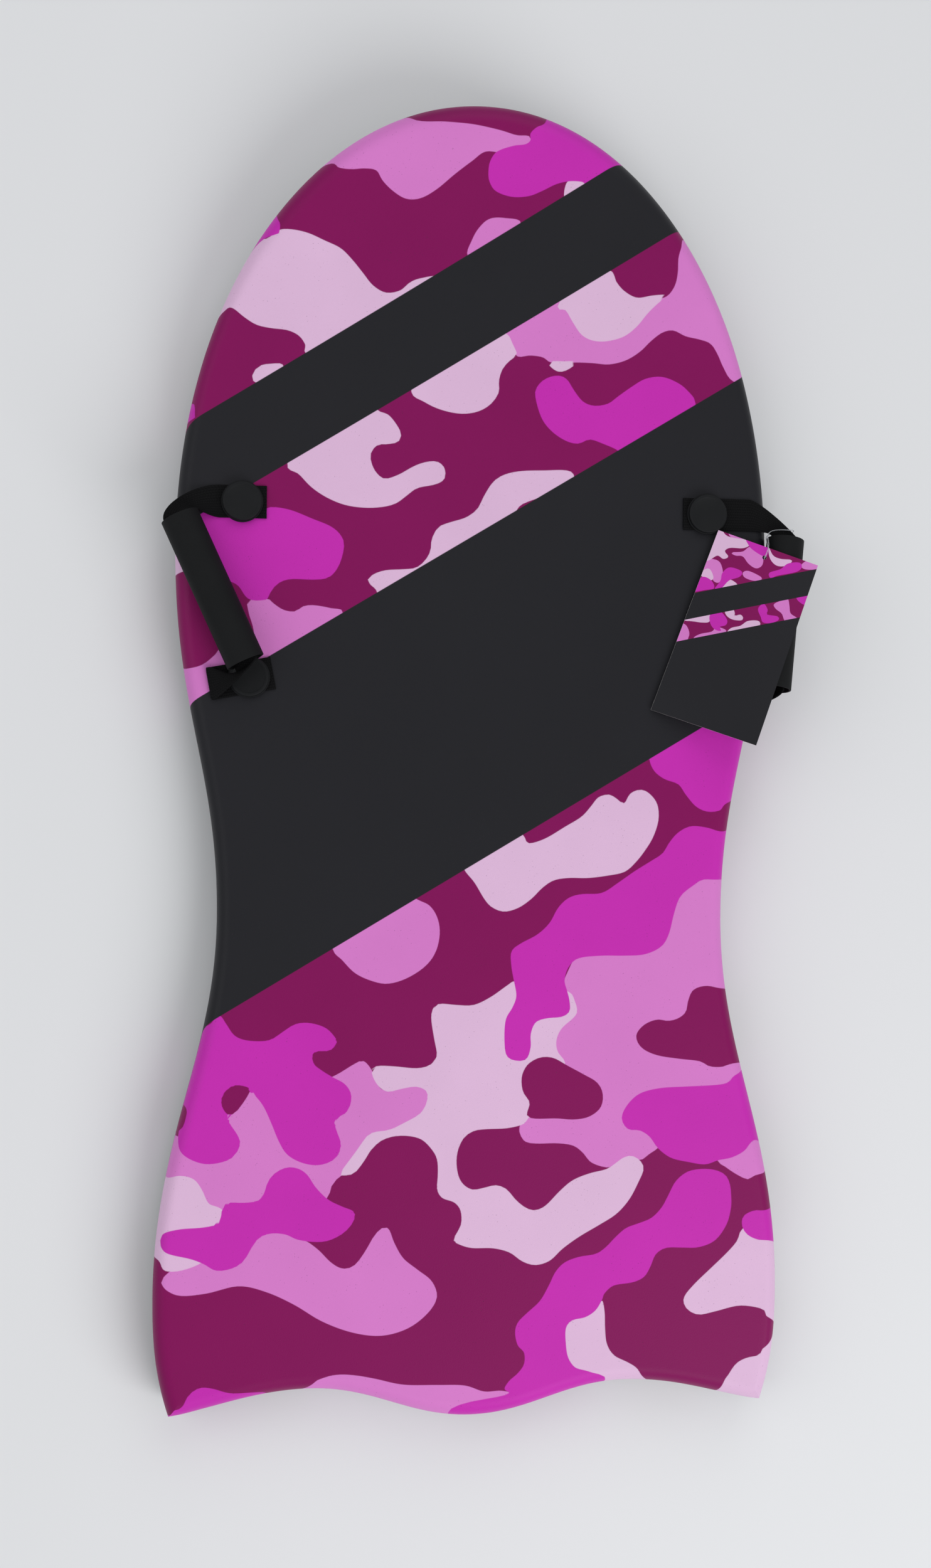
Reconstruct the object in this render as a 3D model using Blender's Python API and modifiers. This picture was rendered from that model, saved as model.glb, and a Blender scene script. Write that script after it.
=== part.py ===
"""Snow sliding board with two strap handles.

Metres, +Z up. The flat bottom lies on z = 0, the nose points towards +Y and the rider's right is +X.
The origin is on the bottom, halfway between the nose tip and the middle of the tail.
"""

import math

import bmesh
import bpy
from mathutils import Matrix, Vector

# Outline: widths, and places along the board from the nose, the hip and the tail
board_length = 1.000
hip_width = 0.460
hip_behind_nose = 0.335
waist_width = 0.392
waist_behind_hip = 0.281
flare_width = 0.483
flare_ahead_of_tail = 0.095
tail_width = 0.458
corner_ahead_of_tail = 0.006
scoop_half_spread = 0.122
scoop_depth = 0.0235

# The same places from the middle of the length
hip_ahead = board_length / 2 - hip_behind_nose
waist_behind = waist_behind_hip - hip_ahead
flare_behind = board_length / 2 - flare_ahead_of_tail

# Curve handles of the outline, as shares of each stretch's own run
nose_share = (0.567, 0.574)
shoulder_share = (0.450, 0.400)
waist_share = (0.380, 0.420)
flank_share = (0.400, 0.770, 0.330)
tail_edge_share = (0.283, 0.166, 0.420)
bump_share = (0.400, 0.390)
nose_steps = 13
side_steps = 8
flank_steps = 4
tail_steps = 6

# Thickness, rails and nose lift
board_thickness = 0.050
skin = 0.002
seam_height = 0.017
rail_side = 0.011
rail_nose = 0.018
rail_tail = 0.013
rail_nose_run = 0.200
rail_drop_share = 1.25
chine = 0.010
chine_rise = 0.012
chine_steps = 3
rail_steps = 4
nose_lift = 0.040
lift_run = 0.285
lift_start_ahead = board_length / 2 - lift_run
lift_steps = 9

# Gap between pieces that seat on each other
seat = 0.0003

# Handle anchors: in from the hip's edge and along the board from the hip, then from the board's middle
front_anchor_in = 0.0502
front_anchor_ahead_of_hip = 0.0325
rear_anchor_in = 0.0565
rear_anchor_behind_hip = 0.1003
front_anchor_out = hip_width / 2 - front_anchor_in
front_anchor_ahead = hip_ahead + front_anchor_ahead_of_hip
rear_anchor_out = hip_width / 2 - rear_anchor_in
rear_anchor_ahead = hip_ahead - rear_anchor_behind_hip

# Moulded plug: a skirted head on a barbed shaft
plug_skirt_radius = 0.0158
plug_skirt_height = 0.0014
plug_head_radius = 0.0149
plug_head_height = 0.0046
plug_head_edge = 0.0008
plug_dish_radius = 0.0122
plug_dish_depth = 0.0004
plug_shaft_radius = 0.0046
plug_barb = 0.0004
plug_barb_pitch = 0.0045
plug_barb_count = 2
plug_tip_clearance = 0.0030

# Socket under the board: a flange with a sleeve
socket_flange_radius = 0.0180
socket_flange_thickness = 0.0030
socket_sunk = 0.0006
socket_sleeve_radius = 0.0080
socket_floor = 0.0025
turned_steps = 24

# Webbing
strap_width = 0.0248
strap_thickness = 0.0016
tab_reach = 0.0185
arm_steps = 10
fold_steps = 6

# Arms of webbing between the plugs and the tubes: side, end, the tab's slant, the twist at the tube's
# mouth, and the curve's reaches in strap widths
arm_table = {
    "left_strap_front": (-1, 1, 0.0, math.radians(8.0), {
        "flat_share": 0.66, "start_shares": (0.90, 0.35), "end_shares": (0.45, 0.15)}),
    "left_strap_rear": (-1, -1, math.radians(10.8), math.radians(-45.0), {
        "flat_share": 1.15, "start_shares": (0.20, 0.20), "end_shares": (0.12, 0.45),
        "fold_share": 0.065, "rise_share": 0.9}),
    "right_strap_front": (1, 1, 0.0, math.radians(12.0), {
        "flat_share": 1.35, "start_shares": (0.35, 0.35), "end_shares": (0.15, 0.12),
        "rise_share": 0.15}),
    "right_strap_rear": (1, -1, math.radians(20.0), math.radians(-60.0), {
        "flat_share": 0.70, "start_shares": (0.50, 0.20), "end_shares": (0.45, 0.50)}),
}

# Grip tube
grip_length = 0.1200
grip_radius = 0.0146
grip_bore_radius = 0.0131
grip_chamfer = 0.0004
grip_steps = 40
mouth_gap = 0.0006
left_grip_in = 0.0288
left_grip_behind_hip = 0.0361
left_grip_out = hip_width / 2 - left_grip_in
left_grip_ahead = hip_ahead - left_grip_behind_hip
left_grip_rise = 0.0186
left_grip_turn = math.radians(24.7)
left_grip_tilt = math.radians(3.2)
right_grip_overhang = 0.0070
right_grip_behind_hip = 0.0447
right_grip_out = max(hip_width, waist_width) / 2 + right_grip_overhang
right_grip_ahead = hip_ahead - right_grip_behind_hip
right_grip_rise = 0.0050
right_grip_turn = math.radians(-6.8)
right_grip_tilt = math.radians(6.6)

# Swing of the left handle: a quarter turn from lying aslant to standing along the board
left_swing = math.radians(90.0)
left_raised_in = 0.0225
left_raised_up = 0.0350

# Hang card and its thread loop
card_width = 0.080
card_length = 0.150
card_thickness = 0.0005
card_corner_in = 0.0417
card_corner_ahead_of_hip = 0.0199
card_corner_out = hip_width / 2 - card_corner_in
card_corner_ahead = hip_ahead + card_corner_ahead_of_hip
card_turn = math.radians(-20.4)
card_over_grip = 0.0080
card_over_strap = 0.0029
card_over_deck = 0.0030
card_steps = 4
card_hole_radius = 0.0016
card_hole_in_share = 0.50
card_hole_down_share = 0.055
loop_radius = 0.00035
loop_clearance = 0.0009
loop_back = 4
loop_steps = 4

# One overrun for every cut
overrun = 0.002

MERGE = 0.00001
UP = Vector((0.0, 0.0, 1.0))

NAME = "snow_board"


def clear_scene():
    for thing in list(bpy.data.objects):
        bpy.data.objects.remove(thing, do_unlink=True)


def collection(name):
    made = bpy.data.collections.new(name)
    bpy.context.scene.collection.children.link(made)
    return made


def material(name, colour, roughness):
    made = bpy.data.materials.new(name)
    made.use_nodes = True
    shader = made.node_tree.nodes["Principled BSDF"]
    shader.inputs["Base Color"].default_value = (*colour, 1.0)
    shader.inputs["Roughness"].default_value = roughness
    made.diffuse_color = (*colour, 1.0)
    return made


def add_object(name, mesh, finish, home):
    made = bpy.data.objects.new(name, mesh)
    if finish:
        mesh.materials.append(finish)
    home.objects.link(made)
    return made


def bezier(start, first, second, end, steps):
    """Points of a cubic curve, the first one left out."""
    points = []
    for i in range(1, steps + 1):
        t = i / steps
        s = 1.0 - t
        points.append(start * s**3 + first * (3 * s * s * t) + second * (3 * s * t * t) + end * t**3)
    return points


def half_outline():
    """The +X half of the board's outline, from the nose tip to the middle of the tail."""
    ahead = Vector((0.0, 1.0))
    out = Vector((1.0, 0.0))
    half = board_length / 2
    nose = Vector((0.0, half))
    hip = Vector((hip_width / 2, hip_ahead))
    waist = Vector((waist_width / 2, -waist_behind))
    flare = Vector((flare_width / 2, -flare_behind))
    corner = Vector((tail_width / 2, corner_ahead_of_tail - half))
    scoop = Vector((scoop_half_spread, scoop_depth - half))
    middle = Vector((0.0, -half))

    points = [nose]
    run = nose.y - hip.y
    points += bezier(nose, nose + out * (nose_share[0] * hip.x),
                     hip + ahead * (nose_share[1] * run), hip, nose_steps)
    run = hip.y - waist.y
    points += bezier(hip, hip - ahead * (shoulder_share[0] * run),
                     waist + ahead * (shoulder_share[1] * run), waist, side_steps)
    run = waist.y - flare.y
    points += bezier(waist, waist - ahead * (waist_share[0] * run),
                     flare + ahead * (waist_share[1] * run), flare, side_steps)
    run = flare.y - corner.y
    leave = Vector((flank_share[1] * (flare.x - corner.x), flank_share[2] * run))
    points += bezier(flare, flare - ahead * (flank_share[0] * run), corner + leave, corner, flank_steps)
    run = corner.x - scoop.x
    leave = Vector((-tail_edge_share[0] * run, tail_edge_share[1] * (scoop.y - corner.y)))
    points += bezier(corner, corner + leave, scoop + out * (tail_edge_share[2] * run), scoop, tail_steps)
    points += bezier(scoop, scoop - out * (bump_share[0] * scoop.x),
                     middle + out * (bump_share[1] * scoop.x), middle, tail_steps)
    return points


def inward_mitres(points):
    """For each outline point, the step that insets both of its edges by one unit."""
    before = Vector((-points[1].x, points[1].y))
    after = Vector((-points[-2].x, points[-2].y))
    ring = [before, *points, after]
    mitres = []
    for i in range(1, len(ring) - 1):
        arrive = (ring[i] - ring[i - 1]).normalized()
        leave = (ring[i + 1] - ring[i]).normalized()
        arrive_in = Vector((arrive.y, -arrive.x))
        leave_in = Vector((leave.y, -leave.x))
        both = (arrive_in + leave_in).normalized()
        mitres.append(both / both.dot(arrive_in))
    return mitres


def smooth_step(value):
    held = min(max(value, 0.0), 1.0)
    return held * held * (3.0 - 2.0 * held)


def rail_rounding(point, is_tail):
    """How far in the deck's rounded edge reaches at an outline point."""
    if is_tail:
        return rail_tail
    nose_weight = smooth_step((point.y - (board_length / 2 - rail_nose_run)) / rail_nose_run)
    return rail_side + (rail_nose - rail_side) * nose_weight


def lift(ahead):
    """Height that the nose's upward sweep adds at a place along the board."""
    start = lift_start_ahead
    run = board_length / 2 - start
    return nose_lift * max(0.0, (ahead - start) / run) ** 2


def deck_edge(rounding, depth):
    """Section of the rounded deck edge, from the wall up to the deck, at a depth under the surface."""
    drop = rounding * rail_drop_share
    section = []
    for i in range(rail_steps + 1):
        angle = math.pi / 2 * i / rail_steps
        inset = rounding - (rounding - depth) * math.cos(angle)
        height = board_thickness - drop + (drop - depth) * math.sin(angle)
        section.append((inset, height))
    return section


def bottom_edge(depth):
    """Section of the rounded bottom edge, from the flat bottom up to the wall."""
    section = []
    for i in range(chine_steps, -1, -1):
        angle = math.pi / 2 * i / chine_steps
        inset = chine - (chine - depth) * math.cos(angle)
        height = chine_rise - (chine_rise - depth) * math.sin(angle)
        section.append((inset, height))
    return section


def deck_skin_section(rounding):
    inner = deck_edge(rounding, skin)
    outer = deck_edge(rounding, 0.0)
    return inner[::-1] + [(skin, seam_height), (0.0, seam_height)] + outer


def slick_section(rounding):
    top = seam_height - seat
    return bottom_edge(0.0) + [(0.0, top), (skin, top)] + bottom_edge(skin)[::-1]


def core_section(rounding):
    depth = skin + seat
    return bottom_edge(depth) + deck_edge(rounding, depth)


def board_piece(name, section, finish, home):
    """A body of the board: rings at the outline, inset by the section, closed by two flats and mirrored."""
    outline = half_outline()
    mitres = inward_mitres(outline)
    corner_index = nose_steps + 2 * side_steps + flank_steps
    columns = []
    for i, (point, mitre) in enumerate(zip(outline, mitres)):
        rounding = rail_rounding(point, i > corner_index)
        column = []
        for inset, height in section(rounding):
            place = point + mitre * inset
            column.append(Vector((place.x, place.y, height)))
        columns.append(column)
    for column in (columns[0], columns[-1]):
        for place in column:
            place.x = 0.0

    shape = bmesh.new()
    rings = []
    for level in range(len(columns[0])):
        rings.append([shape.verts.new(column[level]) for column in columns])
    for low, high in zip(rings, rings[1:]):
        for i in range(len(low) - 1):
            shape.faces.new((low[i], high[i], high[i + 1], low[i + 1]))
    flats = [shape.faces.new(rings[0]), shape.faces.new(rings[-1][::-1])]

    start = lift_start_ahead
    run = board_length / 2 - start
    for i in range(lift_steps):
        cut = start + run * i / lift_steps
        parts = set(flats)
        for flat in flats:
            parts.update(flat.edges)
            parts.update(flat.verts)
        split = bmesh.ops.bisect_plane(shape, geom=list(parts), dist=MERGE,
                                       plane_co=(0.0, cut, 0.0), plane_no=(0.0, 1.0, 0.0))
        flats = [part for part in split["geom"] if isinstance(part, bmesh.types.BMFace)]
    for vert in shape.verts:
        vert.co.z += lift(vert.co.y)
    bmesh.ops.triangulate(shape, faces=shape.faces[:])

    mesh = bpy.data.meshes.new(name)
    shape.to_mesh(mesh)
    shape.free()
    made = add_object(name, mesh, finish, home)
    mirror = made.modifiers.new("other_half", "MIRROR")
    mirror.use_axis = (True, False, False)
    mirror.merge_threshold = MERGE
    return made


def anchors():
    """The four anchor places on the board's plan, by name."""
    return {
        "left_front": Vector((-front_anchor_out, front_anchor_ahead, 0.0)),
        "left_rear": Vector((-rear_anchor_out, rear_anchor_ahead, 0.0)),
        "right_front": Vector((front_anchor_out, front_anchor_ahead, 0.0)),
        "right_rear": Vector((rear_anchor_out, rear_anchor_ahead, 0.0)),
    }


def drill(name, places, radius, low, high, home):
    """One cutter made of a round pin at each place."""
    shape = bmesh.new()
    for place in places:
        middle = Matrix.Translation((place.x, place.y, (low + high) / 2))
        bmesh.ops.create_cone(shape, cap_ends=True, segments=turned_steps, radius1=radius, radius2=radius,
                              depth=high - low, matrix=middle)
    mesh = bpy.data.meshes.new(name)
    shape.to_mesh(mesh)
    shape.free()
    cutter = add_object(name, mesh, None, home)
    cutter.hide_render = True
    cutter.display_type = "WIRE"
    return cutter


def cut(target, cutter):
    change = target.modifiers.new(cutter.name, "BOOLEAN")
    change.operation = "DIFFERENCE"
    change.solver = "EXACT"
    change.object = cutter


def turned(name, profile, steps, closed, finish, home):
    """A turned piece: its half profile on +X, swept once round Z."""
    mesh = bpy.data.meshes.new(name)
    edges = [(i, i + 1) for i in range(len(profile) - 1)]
    if closed:
        edges.append((len(profile) - 1, 0))
    mesh.from_pydata([(radius, 0.0, height) for radius, height in profile], edges, [])
    made = add_object(name, mesh, finish, home)
    screw = made.modifiers.new("turn", "SCREW")
    screw.steps = steps
    screw.render_steps = steps
    screw.use_merge_vertices = True
    screw.merge_threshold = MERGE
    screw.use_smooth_shade = True
    return made


def deck_level():
    return board_thickness


def strap_level():
    """Middle of the webbing where it lies on the deck."""
    return deck_level() + seat + strap_thickness / 2


def head_level():
    """Underside of a plug's head, on top of the webbing."""
    return deck_level() + 2 * seat + strap_thickness


def socket_floor_level():
    return socket_sunk + socket_floor


def bore_radius():
    return plug_shaft_radius + plug_barb + seat


def plug_profile():
    top = head_level() + plug_head_height
    skirt_top = head_level() + plug_skirt_height
    tip = socket_floor_level() + plug_tip_clearance
    profile = [(0.0, top - plug_dish_depth), (plug_dish_radius, top - plug_dish_depth),
               (plug_dish_radius + plug_dish_depth, top), (plug_head_radius - plug_head_edge, top),
               (plug_head_radius, top - plug_head_edge), (plug_head_radius, skirt_top),
               (plug_skirt_radius, skirt_top), (plug_skirt_radius, head_level()),
               (plug_shaft_radius, head_level())]
    for i in range(plug_barb_count):
        low = tip + plug_barb_pitch * (plug_barb_count - i)
        profile.append((plug_shaft_radius, low))
        profile.append((plug_shaft_radius + plug_barb, low))
        profile.append((plug_shaft_radius, low - plug_barb_pitch / 2))
    profile += [(plug_shaft_radius, tip + plug_barb), (plug_shaft_radius - plug_barb, tip), (0.0, tip)]
    return profile


def socket_profile():
    top = board_thickness - skin - 2 * seat
    floor = socket_floor_level()
    flange_top = socket_sunk + socket_flange_thickness
    return [(0.0, floor), (bore_radius(), floor), (bore_radius(), top), (socket_sleeve_radius, top),
            (socket_sleeve_radius, flange_top), (socket_flange_radius, flange_top),
            (socket_flange_radius, socket_sunk), (0.0, socket_sunk)]


def grip_profile():
    half = grip_length / 2
    outer = grip_radius
    inner = grip_bore_radius
    edge = grip_chamfer
    return [(inner, half - edge), (inner + edge, half), (outer - edge, half), (outer, half - edge),
            (outer, edge - half), (outer - edge, -half), (inner + edge, -half), (inner, edge - half)]


def grip_pose(side):
    """Middle of a grip tube and the direction of its front end."""
    if side < 0:
        middle = Vector((-left_grip_out, left_grip_ahead, deck_level() + left_grip_rise))
        turn, tilt = left_grip_turn, left_grip_tilt
    else:
        middle = Vector((right_grip_out, right_grip_ahead, deck_level() + right_grip_rise))
        turn, tilt = right_grip_turn, right_grip_tilt
    flat = math.cos(tilt)
    forward = Vector((-math.sin(turn) * flat, math.cos(turn) * flat, -math.sin(tilt)))
    return middle, forward


def mouth(side, end, twist):
    """Where the webbing meets the tube: its centre, the way out, and half its width towards outboard."""
    middle, forward = grip_pose(side)
    way_out = forward * end
    centre = middle + way_out * (grip_length / 2 + mouth_gap)
    level = forward.cross(UP).normalized() * side
    raised = Matrix.Rotation(twist, 4, forward) @ level
    return centre, way_out, raised * (strap_width / 2)


def ribbon(name, near_edge, far_edge, finish, home):
    """A strip of webbing between two edge curves, given its thickness."""
    shape = bmesh.new()
    near = [shape.verts.new(place) for place in near_edge]
    far = [shape.verts.new(place) for place in far_edge]
    for i in range(len(near) - 1):
        shape.faces.new((near[i], near[i + 1], far[i + 1], far[i]))
    bmesh.ops.triangulate(shape, faces=shape.faces[:])
    mesh = bpy.data.meshes.new(name)
    shape.to_mesh(mesh)
    shape.free()
    made = add_object(name, mesh, finish, home)
    thick = made.modifiers.new("webbing", "SOLIDIFY")
    thick.thickness = strap_thickness
    thick.offset = 0.0
    return made


def arm_edges(side, end, cant, twist, flat_share, start_shares, end_shares, fold_share=0.0, rise_share=0.0):
    """Both edges of an arm of webbing, from its tab under a plug to the tube's mouth.

    side and end pick the corner, cant turns the tab's heading away from the handle's middle, and the
    shares, in strap widths, say how far the tab runs flat and how far each curve keeps its heading.
    The first edge is the one away from the handle's middle.
    """
    anchor = anchors()[("left" if side < 0 else "right") + ("_front" if end > 0 else "_rear")]
    heading = Vector((side * math.cos(cant), end * math.sin(cant), 0.0))
    away = Vector((-side * math.sin(cant), end * math.cos(cant), 0.0))
    level = UP * strap_level()
    tab_end = anchor - heading * tab_reach + level
    flat_end = anchor + heading * (flat_share * strap_width) + level
    centre, way_out, outboard = mouth(side, end, twist)
    edges = []
    for k, sign in enumerate((1.0, -1.0)):
        across = away * (sign * strap_width / 2)
        points = [tab_end + across, anchor + level + across, flat_end + across]
        travel = (heading + UP * rise_share).normalized()
        last = points[-1]
        lands = centre + outboard * sign
        if fold_share:
            radius = fold_share * strap_width
            pivot = last + UP * radius
            for i in range(1, fold_steps + 1):
                angle = math.pi * i / fold_steps
                points.append(pivot + heading * (radius * math.sin(angle)) - UP * (radius * math.cos(angle)))
            last = points[-1]
            travel = (-heading + UP * rise_share).normalized()
            lands = centre - outboard * sign
        first = last + travel * (start_shares[k] * strap_width)
        second = lands + way_out * (end_shares[k] * strap_width)
        points += bezier(last, first, second, lands, arm_steps)
        edges.append(points)
    return edges


def inner_run_edges(side, front_twist, rear_twist):
    """Both edges of the webbing inside the tube, turning from one mouth's twist to the other's."""
    middle, forward = grip_pose(side)
    level = forward.cross(UP).normalized() * side
    half_run = grip_length / 2 - seat
    near = []
    far = []
    for i in range(arm_steps + 1):
        share = i / arm_steps
        twist = front_twist + (rear_twist - front_twist) * share
        across = (Matrix.Rotation(twist, 4, forward) @ level) * (strap_width / 2)
        place = middle + forward * (half_run * (1.0 - 2.0 * share))
        near.append(place + across)
        far.append(place - across)
    return near, far


def card_place(across_share, down_share):
    """A place on the hang card: it leans on the right tube and sinks to the strap and the deck inboard."""
    across = Vector((math.cos(card_turn), math.sin(card_turn), 0.0))
    down = Vector((math.sin(card_turn), -math.cos(card_turn), 0.0))
    corner = Vector((card_corner_out, card_corner_ahead, 0.0))
    middle, forward = grip_pose(1)
    rise = forward * (grip_length / 2)
    over_grip = middle + UP * (grip_radius + card_over_grip)
    inner_top = deck_level() + seat + strap_thickness + card_over_strap
    inner_foot = deck_level() + card_over_deck
    outer_top = (over_grip + rise).z
    outer_foot = (over_grip - rise).z
    top = inner_top + (outer_top - inner_top) * across_share
    foot = inner_foot + (outer_foot - inner_foot) * across_share
    place = corner + across * (card_width * across_share) + down * (card_length * down_share)
    place.z = top + (foot - top) * down_share
    return place


def hang_card(finish, home):
    shape = bmesh.new()
    rows = []
    for i in range(card_steps + 1):
        row = [card_place(k / card_steps, i / card_steps) for k in range(card_steps + 1)]
        rows.append([shape.verts.new(place) for place in row])
    for top, foot in zip(rows, rows[1:]):
        for k in range(card_steps):
            shape.faces.new((top[k], foot[k], foot[k + 1], top[k + 1]))
    mesh = bpy.data.meshes.new("tag_card")
    shape.to_mesh(mesh)
    shape.free()
    made = add_object("tag_card", mesh, finish, home)
    thick = made.modifiers.new("board", "SOLIDIFY")
    thick.thickness = card_thickness
    thick.offset = 0.0
    return made


def closed_curve(points, steps):
    """Points of a smooth closed curve through the given points."""
    smooth = []
    count = len(points)
    for i in range(count):
        before, start, end, after = (points[(i + k) % count] for k in (-1, 0, 1, 2))
        leave = start + (end - before) / 6
        arrive = end - (after - start) / 6
        smooth += bezier(start, leave, arrive, end, steps)
    return smooth


def tag_loop(near, far, finish, home):
    """The card's thread: through its hole and round the webbing's near edge, over and under it."""
    hole = card_place(card_hole_in_share, card_hole_down_share)
    across = (near - far).normalized()
    normal = across.cross(hole - far).normalized()
    if normal.z < 0:
        normal = -normal
    clear = strap_thickness / 2 + loop_radius + loop_clearance
    brink = card_place(card_hole_in_share, 0.0)
    past_card = UP * (card_thickness / 2 + loop_radius + loop_clearance)
    route = [hole, hole + past_card, brink + past_card, far + normal * clear, near + normal * clear,
             near + across * clear, near - normal * clear, far - normal * clear, brink - past_card,
             hole - past_card]
    line = bpy.data.curves.new("tag_loop", "CURVE")
    line.dimensions = "3D"
    line.bevel_depth = loop_radius
    line.bevel_resolution = 1
    places = closed_curve(route, loop_steps)
    spline = line.splines.new("POLY")
    spline.points.add(len(places) - 1)
    for point, place in zip(spline.points, places):
        point.co = (*place, 1.0)
    spline.use_cyclic_u = True
    return add_object("tag_loop", line, finish, home)


def swing_axis(rest, raised, angle):
    """Axis direction of the turn by angle that takes one direction to another."""
    bisector = (rest + raised).normalized()
    normal = rest.cross(raised).normalized()
    half_between = rest.angle(raised) / 2
    along = math.sqrt(max(0.0, 1.0 - (math.sin(half_between) / math.sin(angle / 2)) ** 2))
    share = along / math.cos(half_between)
    return bisector * share + normal * math.sqrt(max(0.0, 1.0 - share * share))


def main():
    clear_scene()
    pieces = collection(NAME)
    cutters = collection(NAME + "_cutters")

    deck_finish = material("printed_deck_skin", (0.42, 0.03, 0.24), 0.45)
    slick_finish = material("slick_bottom", (0.02, 0.02, 0.022), 0.35)
    foam_finish = material("white_foam", (0.85, 0.85, 0.83), 0.9)
    plug_finish = material("black_moulding", (0.03, 0.03, 0.033), 0.5)
    web_finish = material("black_webbing", (0.01, 0.01, 0.01), 0.9)
    grip_finish = material("black_grip", (0.02, 0.02, 0.021), 0.6)
    card_finish = material("hang_card", (0.06, 0.05, 0.06), 0.5)
    loop_finish = material("clear_thread", (0.8, 0.8, 0.8), 0.2)

    places = anchors()
    core = board_piece("foam_core", core_section, foam_finish, pieces)
    deck = board_piece("deck_skin", deck_skin_section, deck_finish, pieces)
    slick = board_piece("slick_bottom", slick_section, slick_finish, pieces)

    spots = list(places.values())
    shaft_hole = drill("shaft_holes", spots, bore_radius(), board_thickness - skin - overrun,
                       head_level() + overrun, cutters)
    sleeve_hole = drill("sleeve_holes", spots, socket_sleeve_radius + seat, -overrun,
                        board_thickness + overrun, cutters)
    flange_hole = drill("flange_holes", spots, socket_flange_radius + seat, -overrun,
                        socket_sunk + socket_flange_thickness + seat, cutters)
    cut(deck, shaft_hole)
    cut(core, sleeve_hole)
    cut(core, flange_hole)
    cut(slick, flange_hole)

    for name, place in places.items():
        plug = turned(name + "_plug", plug_profile(), turned_steps, False, plug_finish, pieces)
        plug.location = place
        socket = turned(name + "_socket", socket_profile(), turned_steps, False, plug_finish, pieces)
        socket.location = place

    arms = {}
    for name, (side, end, cant, twist, shares) in arm_table.items():
        arms[name] = arm_edges(side, end, cant, twist, **shares)
    for name, (near, far) in arms.items():
        strap = ribbon(name, near, far, web_finish, pieces)
        cut(strap, shaft_hole)

    card = hang_card(card_finish, pieces)
    hole = card_place(card_hole_in_share, card_hole_down_share)
    cut(card, drill("card_hole", [hole], card_hole_radius, hole.z - overrun, hole.z + overrun, cutters))
    near, far = arms["right_strap_front"]
    tag_loop(near[-loop_back], far[-loop_back], loop_finish, pieces)

    for side, word in ((-1, "left"), (1, "right")):
        middle, forward = grip_pose(side)
        if side < 0:
            rear_anchor, front_anchor = places["left_rear"], places["left_front"]
            raised = Vector((0.0, 1.0, 0.0))
            axis = swing_axis(forward, raised, left_swing)
            move = Vector((left_raised_in, 0.0, left_raised_up))
            move.y = -(move.x * axis.x + move.z * axis.z) / axis.y
            reach = move.length / 2 / math.tan(left_swing / 2)
            pivot = middle + move / 2 + axis.cross(move).normalized() * reach
        else:
            rear_anchor, front_anchor = places["right_rear"], places["right_front"]
            axis = (front_anchor - rear_anchor).normalized() * -1.0
            pivot = (front_anchor + rear_anchor) / 2 + UP * (strap_level() + seat)
        hinge = bpy.data.objects.new(word + "_handle_axis", None)
        hinge.location = pivot
        hinge.rotation_mode = "QUATERNION"
        hinge.rotation_quaternion = axis.to_track_quat("Z", "Y")
        pieces.objects.link(hinge)
        print(word, "handle axis through", [round(v, 5) for v in pivot], "along", [round(v, 5) for v in axis])
        print(word, "grip middle", [round(v, 5) for v in middle], "along", [round(v, 5) for v in forward])

        front_twist = arm_table[word + "_strap_front"][3]
        rear_twist = arm_table[word + "_strap_rear"][3]
        near, far = inner_run_edges(side, front_twist, rear_twist)
        run = ribbon(word + "_strap_run", near, far, web_finish, pieces)
        grip = turned(word + "_grip_tube", grip_profile(), grip_steps, True, grip_finish, pieces)
        grip.location = middle
        grip.rotation_mode = "QUATERNION"
        grip.rotation_quaternion = forward.to_track_quat("Z", "Y")
        bpy.context.view_layer.update()
        for piece in (run, grip):
            piece.parent = hinge
            piece.matrix_parent_inverse = hinge.matrix_world.inverted()


main()
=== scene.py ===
"""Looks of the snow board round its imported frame: deck, slick, mouldings, webbing, tubes and card."""

import math

import bmesh
import bpy
import numpy as np
from mathutils import Matrix, Vector


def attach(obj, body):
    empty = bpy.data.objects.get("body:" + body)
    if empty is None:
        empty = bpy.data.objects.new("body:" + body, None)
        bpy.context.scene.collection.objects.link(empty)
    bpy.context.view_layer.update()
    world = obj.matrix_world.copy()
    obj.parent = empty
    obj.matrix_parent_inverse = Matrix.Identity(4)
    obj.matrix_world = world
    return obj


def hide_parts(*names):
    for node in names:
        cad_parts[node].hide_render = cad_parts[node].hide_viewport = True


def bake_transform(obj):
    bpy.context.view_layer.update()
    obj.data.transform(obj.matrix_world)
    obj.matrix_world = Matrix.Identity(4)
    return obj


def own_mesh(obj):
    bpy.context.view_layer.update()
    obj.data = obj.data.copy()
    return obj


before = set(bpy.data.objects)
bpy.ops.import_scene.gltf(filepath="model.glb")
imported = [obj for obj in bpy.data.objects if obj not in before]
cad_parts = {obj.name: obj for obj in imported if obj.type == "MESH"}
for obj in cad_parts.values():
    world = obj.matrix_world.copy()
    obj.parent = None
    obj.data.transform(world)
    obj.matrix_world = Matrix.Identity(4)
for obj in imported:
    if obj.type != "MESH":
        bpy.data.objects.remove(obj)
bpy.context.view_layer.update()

# Camera, worked out from the board's outline and both handles
camera_place = (-0.18372, -0.03605, 1.48183)
camera_turn = (0.01501, -0.12222, 0.00958)
camera_lens = 43.2
camera_sensor = 36.0

# Floor and backdrop
floor_reach = 12.0
floor_gap = 0.0006
floor_plain_reach = 1.1
floor_blend_reach = 3.0
backdrop_colour = (221, 222, 225)
floor_colour = (227, 228, 230)
floor_roughness = 0.9
floor_shine = 0.1

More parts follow.
